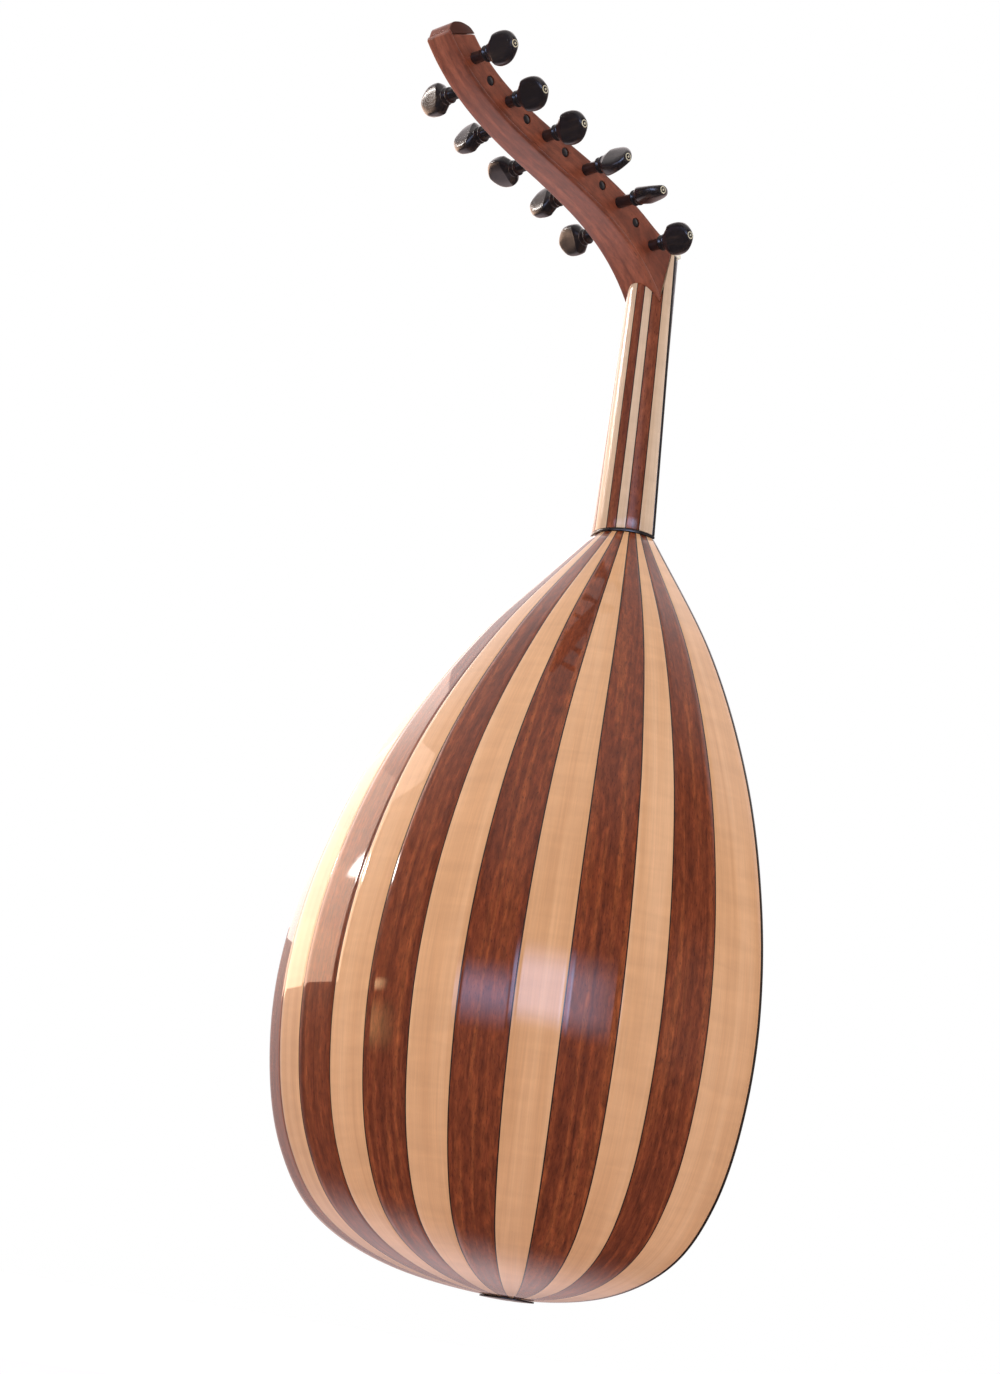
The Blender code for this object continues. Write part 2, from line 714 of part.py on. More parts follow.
def on_joint(height):
    """A place in y and z on the slanted joint of neck and pegbox, at a height over the floor."""
    slope = FLOOR[0][2]
    up = Vector((-slope.y, slope.x))
    along = (JOINT_TOP - JOINT_CORNER).normalized()
    return JOINT_CORNER + along * (height / along.dot(up))


def prism(name, outline, half_width, side_sign=0, thickness=0.0):
    """A solid over an outline in y and z. With a side it is a wall; without, it spans the box."""
    outer = []
    inner = []
    for place in outline:
        reach = half_width(place)
        y, z = place
        if side_sign:
            outer.append(Vector((side_sign * reach, y, z)))
            inner.append(Vector((side_sign * (reach - thickness), y, z)))
        else:
            outer.append(Vector((reach, y, z)))
            inner.append(Vector((-reach, y, z)))
    return loft(name, [outer, inner])


def make_joint_band():
    """The black band between bowl and neck."""
    low = BOWL_LENGTH + CONTACT_GAP
    high = low + JOINT_BAND_THICKNESS
    rings = []
    for z in (low, high):
        ring = neck_ring(z, -JOINT_BAND_PROUD)
        ring[0].y = BOARD_FRONT
        ring[-1].y = BOARD_FRONT
        rings.append(ring)
    add_piece("joint_band", loft("joint_band", rings), EBONY, 40)


def foot_cutter():
    """What the pegbox's foot takes out of the neck's back: everything behind the slanted joint."""
    along = (JOINT_TOP - JOINT_CORNER).normalized()
    corner = on_joint(-BACK_THICKNESS - CONTACT_GAP) - Vector((along.y, -along.x)) * CONTACT_GAP
    under = [in_box(run, -BACK_THICKNESS - CONTACT_GAP) for run in FLOOR_RUNS[1:5]]
    outline = [corner, corner + along * FOOT_CUT_REACH, under[-1] + Vector((0, FOOT_CUT_REACH))]
    outline += under[::-1]
    rings = [[Vector((x, *place)) for place in outline] for x in (-NECK_JOINT_WIDTH, NECK_JOINT_WIDTH)]
    return loft("foot_cutter", rings)


def make_neck():
    """The neck's core, the striped veneer round it, the fingerboard and the nut."""
    low = BOWL_LENGTH + 2 * CONTACT_GAP + JOINT_BAND_THICKNESS
    heights = [low + (NUT_TOP - low) * i / NECK_STEPS for i in range(NECK_STEPS + 1)]
    inset = VENEER_THICKNESS + CONTACT_GAP
    core = add_piece("neck_core", loft("neck_core", [neck_ring(z, inset) for z in heights]), PALE_WOOD)
    rings = []
    for z in heights:
        rings.append(neck_ring(z, 0.0) + list(reversed(neck_ring(z, VENEER_THICKNESS))))
    veneer = add_piece("neck_veneer", loft("neck_veneer", rings), MAPLE, 40)
    cutter = add_cutter("pegbox_foot_seat", foot_cutter())
    boolean(core, cutter)
    boolean(veneer, cutter)
    end = NUT_TOP - NUT_THICKNESS - CONTACT_GAP
    rings = []
    for z in (low, end):
        front = neck_front(z) - CONTACT_GAP
        half = neck_half_width(z)
        rings.append(((-half, front, z), (-half, front - FINGERBOARD_THICKNESS, z),
                      (half, front - FINGERBOARD_THICKNESS, z), (half, front, z)))
    add_piece("fingerboard", loft("fingerboard", rings), EBONY)
    rings = []
    for z, drop in ((end + CONTACT_GAP, 0.0), (NUT_TOP - NUT_SLOPE, 0.0), (NUT_TOP, NUT_DROP)):
        front = neck_front(z) - CONTACT_GAP
        half = neck_half_width(z)
        top = front - FINGERBOARD_THICKNESS - NUT_HEIGHT + drop
        rings.append(((-half, front, z), (-half, top, z), (half, top, z), (half, front, z)))
    add_piece("nut", loft("nut", rings), BONE)


def make_pegbox():
    """Back plate, two side walls, the foot glued to the neck and the end block."""
    runs = FLOOR_RUNS
    lower = [in_box(run, CONTACT_GAP) for run in runs]
    low_end = FLOOR_LENGTH + wall_end(CONTACT_GAP)
    high_end = FLOOR_LENGTH + wall_end(WALL_HEIGHT_AT_TIP)
    tops = [run for run in runs if JOINT_PLACE[0] + MM < run < high_end - MM] + [high_end]
    upper = [in_box(run, wall_height(run)) for run in tops]
    wall = [on_joint(CONTACT_GAP)] + lower[1:-1] + [in_box(low_end, CONTACT_GAP)]
    wall += upper[::-1] + [JOINT_TOP]
    for side, sign in (("left", -1), ("right", 1)):
        mesh = prism("pegbox_wall_" + side, wall, wall_reach, sign, WALL_THICKNESS)
        piece = add_piece("pegbox_wall_" + side, mesh, PEGBOX_WOOD)
        for number in range(PEG_COUNT):
            boolean(piece, PEG_HOLES[number])
    rings = []
    for run in runs:
        heights = (0.0, -BACK_THICKNESS, -BACK_THICKNESS + BACK_EDGE_ROUNDING)
        places = []
        for height in heights:
            lean = BACK_END_LEAN * (1 + height / BACK_THICKNESS) if run == runs[-1] else 0.0
            places.append(in_box(run + lean, height) if run else on_joint(height))
        top, under, side = places
        half = floor_half_width(top.x) + BACK_OVERHANG
        inner = half - BACK_EDGE_ROUNDING
        rings.append(((-half, *top), (half, *top), (half, *side), (inner, *under),
                      (-inner, *under), (-half, *side)))
    add_piece("pegbox_back", loft("pegbox_back", rings), PEGBOX_WOOD, 20)
    foot = [on_joint(CONTACT_GAP), lower[1], lower[2], in_box(runs[2] + FOOT_LEAN, FOOT_HEIGHT), JOINT_TOP]
    add_piece("pegbox_foot", prism("pegbox_foot", foot, inside_reach), PEGBOX_WOOD)
    start = in_box(low_end + CONTACT_GAP, CONTACT_GAP)
    block = add_piece("pegbox_end_block", prism("pegbox_end_block", [start] + tip_profile(), wall_reach),
                      PEGBOX_WOOD)
    tongue_end = FLOOR_LENGTH - TONGUE_LENGTH
    tongue = [in_box(tongue_end, 2 * CONTACT_GAP)]
    for height in (2 * CONTACT_GAP, TONGUE_HEIGHT):
        tongue.append(in_box(FLOOR_LENGTH + wall_end(height) + TONGUE_OVERLAP, height))
    tongue.append(in_box(tongue_end, TONGUE_HEIGHT))
    boolean(block, add_cutter("block_tongue", prism("block_tongue", tongue, inside_reach)), "UNION")


def peg_height(number):
    """The height of a peg's axis over the floor."""
    return PEG_HEIGHT_AT_NUT - PEG_HEIGHT_FALL * PEG_RUNS[number] * MM


def peg_place(number, higher=0.0):
    """The peg's axis in y and z, or a place over it; pegs are counted from the nut."""
    return in_box(PEG_RUNS[number] * MM, peg_height(number) + higher)


def peg_side(number):
    """-1 where the head is on the left, as for the first peg, and 1 on the right."""
    return 1 if number % 2 else -1


def shaft_radius(number, x):
    """The tapered shaft's radius at a place across the box."""
    reach = wall_reach(peg_place(number))
    share = (peg_side(number) * x + reach) / (2 * reach)
    return PEG_RADIUS_AT_TIP + (PEG_RADIUS_AT_HEAD - PEG_RADIUS_AT_TIP) * share


def make_peg_holes():
    """One tapered cutter for each peg, through both walls."""
    holes = []
    for number in range(PEG_COUNT):
        y, z = peg_place(number)
        reach = wall_reach(peg_place(number)) + PEG_HOLE_OVERLAP
        low = shaft_radius(number, -reach) + PEG_HOLE_CLEARANCE
        high = shaft_radius(number, reach) + PEG_HOLE_CLEARANCE
        mesh = rod_mesh("peg_hole", (0, y, z), 2 * reach, low, high, "X", PEG_SIDES)
        holes.append(add_cutter("peg_hole_%02d" % (number + 1), mesh))
    return holes


def peg_profile(number):
    """Stations along the peg from its tip: distance, half width and half thickness."""
    reach = wall_reach(peg_place(number))
    neck = PEG_REACHES[number] * MM - PEG_HEAD_LENGTH
    r0 = PEG_RADIUS_AT_TIP
    r1 = PEG_RADIUS_AT_HEAD
    rows = [(-reach, r0, r0), (reach, r1, r1)]
    for under, share in PEG_COLLAR:
        rows.append((neck - under, r1 * share, r1 * share))
    rows.append((neck, r1, r1 * 0.8))
    for turn in PEG_HEAD_STATIONS:
        a = math.radians(turn)
        x = neck + PEG_HEAD_LENGTH * (1 - math.cos(a)) / 2
        width = PEG_HEAD_HALF_WIDTH * math.sin(a) ** 0.8
        thick = PEG_HEAD_HALF_THICKNESS * (math.sin(a) ** 0.55) * (0.62 + 0.38 * turn / 180)
        rows.append((x, max(width, r1), min(thick, width)))
    rows.append((neck + PEG_HEAD_LENGTH, *PEG_HEAD_END))
    return rows


def make_pegs():
    """The ebony pegs, each turned to its own angle about its axis."""
    for number in range(PEG_COUNT):
        y, z = peg_place(number)
        sign = peg_side(number)
        turn = math.radians(PEG_TURNS[number])
        rings = []
        for x, width, thick in peg_profile(number):
            ring = []
            for i in range(PEG_SIDES):
                a = 2 * math.pi * i / PEG_SIDES
                u = width * math.cos(a)
                v = thick * math.sin(a)
                ring.append(Vector((sign * x, u * math.cos(turn) - v * math.sin(turn),
                                    u * math.sin(turn) + v * math.cos(turn))))
            rings.append(ring)
        peg = add_piece("peg_%02d" % (number + 1), loft("peg_%02d" % (number + 1), rings), EBONY, 50)
        peg.location = (0, y, z)


def string_list():
    """Each string's course, its offsets at the bridge and at the nut, and its thickness."""
    strings = []
    for course, gauge in enumerate(COURSE_GAUGES):
        at_bridge = COURSE_STEP_AT_BRIDGE * (course - 2.5)
        at_nut = COURSE_STEP_AT_NUT * (course - 2.5)
        if course == 0:
            strings.append((at_bridge, at_nut, gauge))
            continue
        for side in (-1, 1):
            bridge_end = at_bridge + side * PAIR_HALF_GAP_AT_BRIDGE
            nut_end = at_nut + side * PAIR_HALF_GAP_AT_NUT
            strings.append((bridge_end, nut_end, gauge))
    return strings


def taut_way(start, target, last_peg, lift):
    """The taut way in y and z: the upper hull over the neck's end and the nearer pegs."""
    points = [start, Vector((JOINT_TOP.x, NUT_TOP + lift))]
    for number in range(last_peg):
        points.append(peg_place(number, STRING_PASS_HEIGHT))
    points.append(target)
    hull = []
    for point in points:
        while len(hull) > 1:
            a = hull[-1] - hull[-2]
            b = point - hull[-1]
            if a.x * b.y - a.y * b.x < 0:
                break
            hull.pop()
        hull.append(point)
    return hull


def string_route(at_bridge, at_nut, gauge, peg):
    """The whole way of one string: bridge, nut, pegbox and the turns round its peg."""
    lift = CONTACT_GAP + gauge / 2
    nut_y = neck_front(NUT_TOP) - CONTACT_GAP - FINGERBOARD_THICKNESS - NUT_HEIGHT
    bridge_y = BOARD_FRONT - STRING_HEIGHT_AT_BRIDGE
    behind_nut = Vector((nut_y + NUT_DROP - lift, NUT_TOP + lift))
    route = [Vector((at_bridge, bridge_y, BRIDGE_PLACE + CONTACT_GAP)),
             Vector((at_nut, nut_y - lift, NUT_TOP - NUT_THICKNESS)),
             Vector((at_nut, nut_y - lift, NUT_TOP - NUT_SLOPE))]
    centre = peg_place(peg)
    side = 1 if at_nut > 0 else -1
    in_line = at_nut * STRING_NARROWING
    radius = PEG_RADIUS_AT_HEAD + CONTACT_GAP + gauge / 2
    top = peg_place(peg, radius)
    begin = math.atan2(top.y - centre.y, top.x - centre.x)
    way = taut_way(behind_nut, top, peg, lift)
    entry = way[0] + (way[1] - way[0]) * (JOINT_TOP.x - way[0].x) / (way[1].x - way[0].x)
    route.append(Vector((at_nut, *behind_nut)))
    route.append(Vector((in_line, *entry)))
    for point in way[1:-1]:
        if point.x > JOINT_TOP.x + MM:
            route.append(Vector((in_line, *point)))
    for i in range(WINDING_TURNS * WINDING_POINTS + 1):
        angle = begin - 2 * math.pi * i / WINDING_POINTS
        x = in_line - side * WINDING_STEP * i / WINDING_POINTS
        route.append(Vector((x, centre.x + radius * math.cos(angle), centre.y + radius * math.sin(angle))))
    return route


def winding_gap(route, gauge):
    """The least room between neighbouring turns of one string round its peg."""
    wound = route[-WINDING_TURNS * WINDING_POINTS - 1:]
    pairs = zip(wound, wound[WINDING_POINTS:])
    return min((later - earlier).length for earlier, later in pairs) - gauge


def make_strings():
    """Eleven strings; the outer ones go to the nearest pegs, the middle ones to the farthest."""
    strings = string_list()
    order = sorted((-abs(at_nut), at_nut, index) for index, (_, at_nut, _) in enumerate(strings))
    gaps = []
    for peg, (_, _, index) in enumerate(order):
        at_bridge, at_nut, gauge = strings[index]
        route = string_route(at_bridge, at_nut, gauge, peg)
        gaps.append(winding_gap(route, gauge))
        curve = bpy.data.curves.new("string_%02d" % (index + 1), "CURVE")
        curve.dimensions = "3D"
        curve.bevel_depth = gauge / 2
        curve.bevel_resolution = 1
        curve.use_fill_caps = True
        spline = curve.splines.new("POLY")
        spline.points.add(len(route) - 1)
        for target, point in zip(spline.points, route):
            target.co = (*point, 1.0)
        holder = bpy.data.objects.new("string_%02d" % (index + 1), curve)
        curve.materials.append(NYLON)
        PARTS.objects.link(holder)
    print("least gap between a string's turns on its peg: %.2f mm" % (min(gaps) / MM))


PEG_HOLES = make_peg_holes()
make_ribs()
make_end_cap()
make_blocks()
make_soundboard()
make_binding()
for HOLE in HOLES:
    make_rosette(*HOLE)
make_bridge()
make_guard()
make_joint_band()
make_neck()
make_pegbox()
make_pegs()
make_strings()
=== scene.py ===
"""A turkish oud dressed as a finished instrument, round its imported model.

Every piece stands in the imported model's frame, in metres: +Z runs from the tail to the
pegbox, the soundboard faces -Y and the bowl swells towards +Y.
"""
import logging
import math
from dataclasses import dataclass, field, replace
from enum import Enum
from typing import Callable, Iterable, Sequence

import bpy
import numpy as np
from mathutils import Matrix, Vector


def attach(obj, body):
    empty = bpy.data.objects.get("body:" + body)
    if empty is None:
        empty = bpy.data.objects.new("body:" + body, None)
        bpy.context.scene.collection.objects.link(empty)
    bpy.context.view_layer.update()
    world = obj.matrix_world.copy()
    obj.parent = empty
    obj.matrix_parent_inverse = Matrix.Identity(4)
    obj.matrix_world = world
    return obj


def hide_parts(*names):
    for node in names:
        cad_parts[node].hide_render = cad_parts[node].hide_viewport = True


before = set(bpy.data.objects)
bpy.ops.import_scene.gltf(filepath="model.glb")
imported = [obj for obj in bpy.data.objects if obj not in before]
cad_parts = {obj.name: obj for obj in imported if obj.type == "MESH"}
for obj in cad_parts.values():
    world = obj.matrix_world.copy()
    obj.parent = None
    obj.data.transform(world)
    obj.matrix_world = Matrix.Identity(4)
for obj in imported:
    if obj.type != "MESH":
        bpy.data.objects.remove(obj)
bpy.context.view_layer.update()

LOG = logging.getLogger("oud")
MM = 0.001
GAP = 0.3 * MM
ROOT_BODY = "lute"
GRAIN_MAP = "grain"

Colour = tuple[float, float, float]
Placer = Callable[[np.ndarray, np.ndarray], np.ndarray]


class Bench:
    """Adds primitives, shapes them in edit mode and hands over finished pieces."""

    @staticmethod
    def clear() -> None:
        """Deselect everything."""
        bpy.ops.object.select_all(action="DESELECT")

    @staticmethod
    def take(piece: bpy.types.Object) -> None:
        """Make one piece the only selected and the active one."""
        Bench.clear()
        piece.select_set(True)
        bpy.context.view_layer.objects.active = piece

    @staticmethod
    def named(name: str) -> bpy.types.Object:
        """Give the newest primitive its name and return it."""
        piece = bpy.context.object
        piece.name = name
        piece.data.name = name
        return piece

    @staticmethod
    def edit(piece: bpy.types.Object, *steps: Callable[[], object]) -> None:
        """Run edit-mode steps on the whole of a piece.

        Args:
            piece: the mesh object to work on.
            steps: calls of mesh operators, in order.
        """
        Bench.take(piece)
        bpy.ops.object.mode_set(mode="EDIT")
        bpy.ops.mesh.select_mode(type="VERT")
        bpy.ops.mesh.select_all(action="SELECT")
        for step in steps:
            step()
        bpy.ops.object.mode_set(mode="OBJECT")

    @staticmethod
    def modify(piece: bpy.types.Object, kind: str, **settings: object) -> None:
        """Add a modifier with these settings and apply it.

        Args:
            piece: the mesh object to change.
            kind: the modifier's type.
            settings: its properties by name.
        """
        Bench.take(piece)
        modifier = piece.modifiers.new(kind.lower(), kind)
        for key, value in settings.items():
            setattr(modifier, key, value)
        bpy.ops.object.modifier_apply(modifier=modifier.name)

    @staticmethod
    def sheet(name: str, columns: int, rows: int, place: Placer, grain: Placer | None = None,
              closed: bool = False, away: Sequence[float] | None = None) -> bpy.types.Object:
        """A grid primitive laid onto a form.

        Args:
            name: the piece's name.
            columns: faces across.
            rows: faces along.
            place: gives points for arrays of shares across and along.
            grain: gives the surface map in metres, along and across the grain.
            closed: the first and last columns meet; the ends are then filled.
            away: a point that an open sheet's faces look away from.

        Returns:
            The new mesh object, at the origin.
        """
        Bench.clear()
        bpy.ops.mesh.primitive_grid_add(x_subdivisions=columns, y_subdivisions=rows, size=2,
                                        location=(0, 0, 0))
        piece = Bench.named(name)
        mesh = piece.data
        flat = np.empty(len(mesh.vertices) * 3)
        mesh.vertices.foreach_get("co", flat)
        u = np.round(flat[0::3] / 2 + 0.5, 9)
        v = np.round(flat[1::3] / 2 + 0.5, 9)
        points = np.asarray(place(u, v), float)
        layer = mesh.uv_layers.active
        layer.name = GRAIN_MAP
        corners = np.empty(len(mesh.loops), int)
        mesh.loops.foreach_get("vertex_index", corners)
        spread = (grain or (lambda a, b: np.stack([points[:, 2], points[:, 0]], 1)))(u, v)
        layer.uv.foreach_set("vector", np.asarray(spread, np.float32)[corners].ravel())
        mesh.vertices.foreach_set("co", points.ravel())
        mesh.update()
        if closed:
            Bench.edit(piece, lambda: bpy.ops.mesh.remove_doubles(threshold=1e-6),
                       lambda: bpy.ops.mesh.fill_holes(sides=0),
                       lambda: bpy.ops.mesh.select_all(action="SELECT"),
                       lambda: bpy.ops.mesh.normals_make_consistent(inside=False))
        elif away is not None:
            centres = np.array([face.center for face in mesh.polygons])
            normals = np.array([face.normal for face in mesh.polygons])
            if ((centres - np.array(away)) * normals).sum() < 0:
                Bench.edit(piece, lambda: bpy.ops.mesh.flip_normals())
        return piece

    @staticmethod
    def prism(name: str, outline: Sequence[Sequence[float]], sweep: Sequence[float]) -> bpy.types.Object:
        """A flat outline swept straight.

        Args:
            name: the piece's name.
            outline: the corners in order.
            sweep: the way of the sweep.

        Returns:
            The new mesh object, at the origin.
        """
        Bench.clear()
        bpy.ops.mesh.primitive_circle_add(vertices=len(outline), radius=1, fill_type="NGON",
                                          location=(0, 0, 0))
        piece = Bench.named(name)
        corners = np.array(outline, float)
        piece.data.vertices.foreach_set("co", corners.ravel())
        piece.data.update()
        move = {"value": tuple(sweep)}
        Bench.edit(piece, lambda: bpy.ops.mesh.extrude_region_move(TRANSFORM_OT_translate=move),
                   lambda: bpy.ops.mesh.select_all(action="SELECT"),
                   lambda: bpy.ops.mesh.normals_make_consistent(inside=False))
        return piece

    @staticmethod
    def rod(name: str, start: Sequence[float], end: Sequence[float], low: float, high: float,
            sides: int = 40) -> bpy.types.Object:
        """A straight round rod or cone between two points, as a primitive.

        Args:
            name: the piece's name.
            start: the centre of the first end.
            end: the centre of the other end.
            low: the radius at the first end.
            high: the radius at the other end.
            sides: how many sides it has.

        Returns:
            The new mesh object, at the origin.
        """
        a = Vector(start)
        b = Vector(end)
        Bench.clear()
        turn = (b - a).to_track_quat("Z", "Y").to_euler()
        bpy.ops.mesh.primitive_cone_add(vertices=sides, radius1=low, radius2=high, depth=(b - a).length,
                                        location=(a + b) / 2, rotation=turn)
        piece = Bench.named(name)
        Bench.settle(piece)
        return piece

    @staticmethod
    def settle(piece: bpy.types.Object) -> None:
        """Put a piece's place into its mesh."""
        Bench.take(piece)
        bpy.ops.object.transform_apply(location=True, rotation=True, scale=True)

    @staticmethod
    def joined(name: str, parts: Sequence[bpy.types.Object]) -> bpy.types.Object:
        """Join several objects into one.

        Args:
            name: the joined piece's name.
            parts: the objects, of which the first one takes the others in.

        Returns:
            The joined object.
        """
        Bench.take(parts[0])
        for part in parts:
            part.select_set(True)
        if len(parts) > 1:
            bpy.ops.object.join()
        return Bench.named(name)

    @staticmethod
    def cut(piece: bpy.types.Object, cutter: bpy.types.Object, keep: bool = False,
            way: str = "DIFFERENCE") -> None:
        """Cut one object out of another, or join it on.

        Args:
            piece: what is changed.
            cutter: what it is cut with.
            keep: the cutter is used again and stays.
            way: the Boolean operation.
        """
        Bench.modify(piece, "BOOLEAN", operation=way, solver="EXACT", object=cutter)
        if not keep:
            bpy.data.objects.remove(cutter)

    @staticmethod
    def ease_edges(piece: bpy.types.Object, width: float, segments: int = 2, angle: float = 40) -> None:
        """Round a piece's sharp edges.

        Args:
            piece: the mesh object.
            width: how much is taken off.
            segments: faces over each rounded edge.
            angle: edges sharper than this, in degrees, are rounded.
        """
        Bench.modify(piece, "BEVEL", width=width, segments=segments, limit_method="ANGLE",
                     angle_limit=math.radians(angle), harden_normals=False)

    @staticmethod
    def copy_of_node(node: str, name: str) -> bpy.types.Object:
        """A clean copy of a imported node's mesh, with its loose triangles merged.

        Args:
            node: the node's name.
            name: the copy's name.

        Returns:
            The new object.
        """
        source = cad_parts[node]
        piece = bpy.data.objects.new(name, source.data.copy())
        piece.data.name = name
        piece.data.materials.clear()
        bpy.context.scene.collection.objects.link(piece)
        Bench.edit(piece, lambda: bpy.ops.mesh.remove_doubles(threshold=1e-6),
                   lambda: bpy.ops.mesh.tris_convert_to_quads(face_threshold=0.01, shape_threshold=0.3),
                   lambda: bpy.ops.mesh.normals_make_consistent(inside=False))
        return piece

    @staticmethod
    def hand_over(piece: bpy.types.Object, material: bpy.types.Material, body: str = ROOT_BODY,
                  stands_for: Iterable[str] = (), slot: str | None = None, smooth: float = 35) -> None:
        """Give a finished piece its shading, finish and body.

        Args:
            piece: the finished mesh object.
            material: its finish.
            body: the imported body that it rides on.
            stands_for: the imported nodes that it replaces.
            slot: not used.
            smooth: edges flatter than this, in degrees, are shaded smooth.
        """
        Bench.take(piece)
        bpy.ops.object.shade_smooth_by_angle(angle=math.radians(smooth))
        piece.data.materials.clear()
        piece.data.materials.append(material)
        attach(piece, body)
        nodes = list(stands_for)
        if nodes:
            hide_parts(*nodes)
        LOG.info("%s: %d faces on %s", piece.name, len(piece.data.polygons), body)


class GrainWay(Enum):
    """Which way a wood's grain runs."""

    ON_SURFACE = "surface map"
    UP = "up the lute"
    ACROSS = "across the lute"


class NodeBoard:
    """A material's node tree with short calls to add and join nodes."""

    def __init__(self, name: str, **shader: float | tuple) -> None:
        """Start a material.

        Args:
            name: the material's name.
            shader: constant values of the Principled shader, with _ for blanks.
        """
        self.material = bpy.data.materials.new(name)
        self.material.use_nodes = True
        self.tree = self.material.node_tree
        self.shader = self.tree.nodes["Principled BSDF"]
        for key, value in shader.items():
            self.shader.inputs[key.replace("_", " ")].default_value = value

    def node(self, kind: str, inputs: dict | None = None, **settings: object) -> bpy.types.Node:
        """Add a node.

        Args:
            kind: the node's type without its prefix.
            inputs: values or sockets by input name or number.
            settings: the node's own properties.

        Returns:
            The new node.
        """
        node = self.tree.nodes.new("ShaderNode" + kind)
        for key, value in settings.items():
            setattr(node, key, value)
        for key, value in (inputs or {}).items():
            self.feed(node.inputs[key], value)
        return node

    def feed(self, target: bpy.types.NodeSocket, value: object) -> None:
        """Link a socket to an input, or set the input's value."""
        if isinstance(value, bpy.types.NodeSocket):
            self.tree.links.new(value, target)
        else:
            target.default_value = value

    def grain(self, way: GrainWay) -> bpy.types.NodeSocket:
        """Coordinates in metres whose first axis runs along the grain."""
        if way is GrainWay.ON_SURFACE:
            return self.node("UVMap", uv_map=GRAIN_MAP).outputs["UV"]
        place = self.node("TexCoord").outputs["Object"]
        if way is GrainWay.ACROSS:
            return place
        parts = self.node("SeparateXYZ", {0: place})
        return self.node("CombineXYZ", {0: parts.outputs[2], 1: parts.outputs[0],
                                        2: parts.outputs[1]}).outputs[0]

    def noise(self, place: bpy.types.NodeSocket, scale: Sequence[float], detail: float = 2.0,
              rough: float = 0.5, warp: float = 0.0) -> bpy.types.NodeSocket:
        """Noise with its own scale on each axis, as a number from 0 to 1.

        Args:
            place: the coordinates.
            scale: repeats for each metre, on each axis.
            detail: how many finer layers it has.
            rough: how strong these are.
            warp: how much it is distorted.

        Returns:
            The socket with the number.
        """
        scaled = self.node("Mapping", {"Vector": place, "Scale": tuple(scale)}).outputs[0]
        return self.node("TexNoise", {"Vector": scaled, "Scale": 1.0, "Detail": detail, "Roughness": rough,
                                      "Distortion": warp}).outputs[0]

    def ramp(self, factor: bpy.types.NodeSocket, stops: Sequence[tuple[float, Colour]]) -> bpy.types.NodeSocket:
        """Colours by a number.

        Args:
            factor: the number.
            stops: places and colours.

        Returns:
            The colour socket.
        """
        node = self.node("ValToRGB", {0: factor})
        ramp = node.color_ramp
        while len(ramp.elements) < len(stops):
            ramp.elements.new(1.0)
        for element, (place, colour) in zip(ramp.elements, stops):
            element.position = place
            element.color = (*colour, 1.0)
        return node.outputs[0]

    def span(self, factor: bpy.types.NodeSocket, low: float, high: float, to_low: float = 0.0,
             to_high: float = 1.0) -> bpy.types.NodeSocket:
        """Stretch part of a number's range over another one, clamped."""
        return self.node("MapRange", {0: factor, 1: low, 2: high, 3: to_low, 4: to_high}).outputs[0]

    def sum(self, a: object, b: object, way: str = "ADD") -> bpy.types.NodeSocket:
        """Two numbers joined by one operation."""
        return self.node("Math", {0: a, 1: b}, operation=way).outputs[0]

    def mix(self, factor: object, a: object, b: object, way: str = "MIX") -> bpy.types.NodeSocket:
        """Two colours mixed.

        Args:
            factor: how much of the second one.
            a: the first colour.
            b: the second colour.
            way: the blend type.

        Returns:
            The colour socket.
        """
        colours = [c if isinstance(c, bpy.types.NodeSocket) else (*c, 1.0) for c in (a, b)]
        return self.node("Mix", {0: factor, 6: colours[0], 7: colours[1]}, data_type="RGBA",
                         blend_type=way).outputs[2]

    def bump(self, height: bpy.types.NodeSocket, strength: float, distance: float,
             socket: str = "Normal") -> None:
        """Join a bump to the shader.

        Args:
            height: the height, from 0 to 1.
            strength: how strongly it shows.
            distance: the height's full depth in metres.
            socket: the shader's input.
        """
        node = self.node("Bump", {"Strength": strength, "Distance": distance, "Height": height})
        self.feed(self.shader.inputs[socket], node.outputs[0])


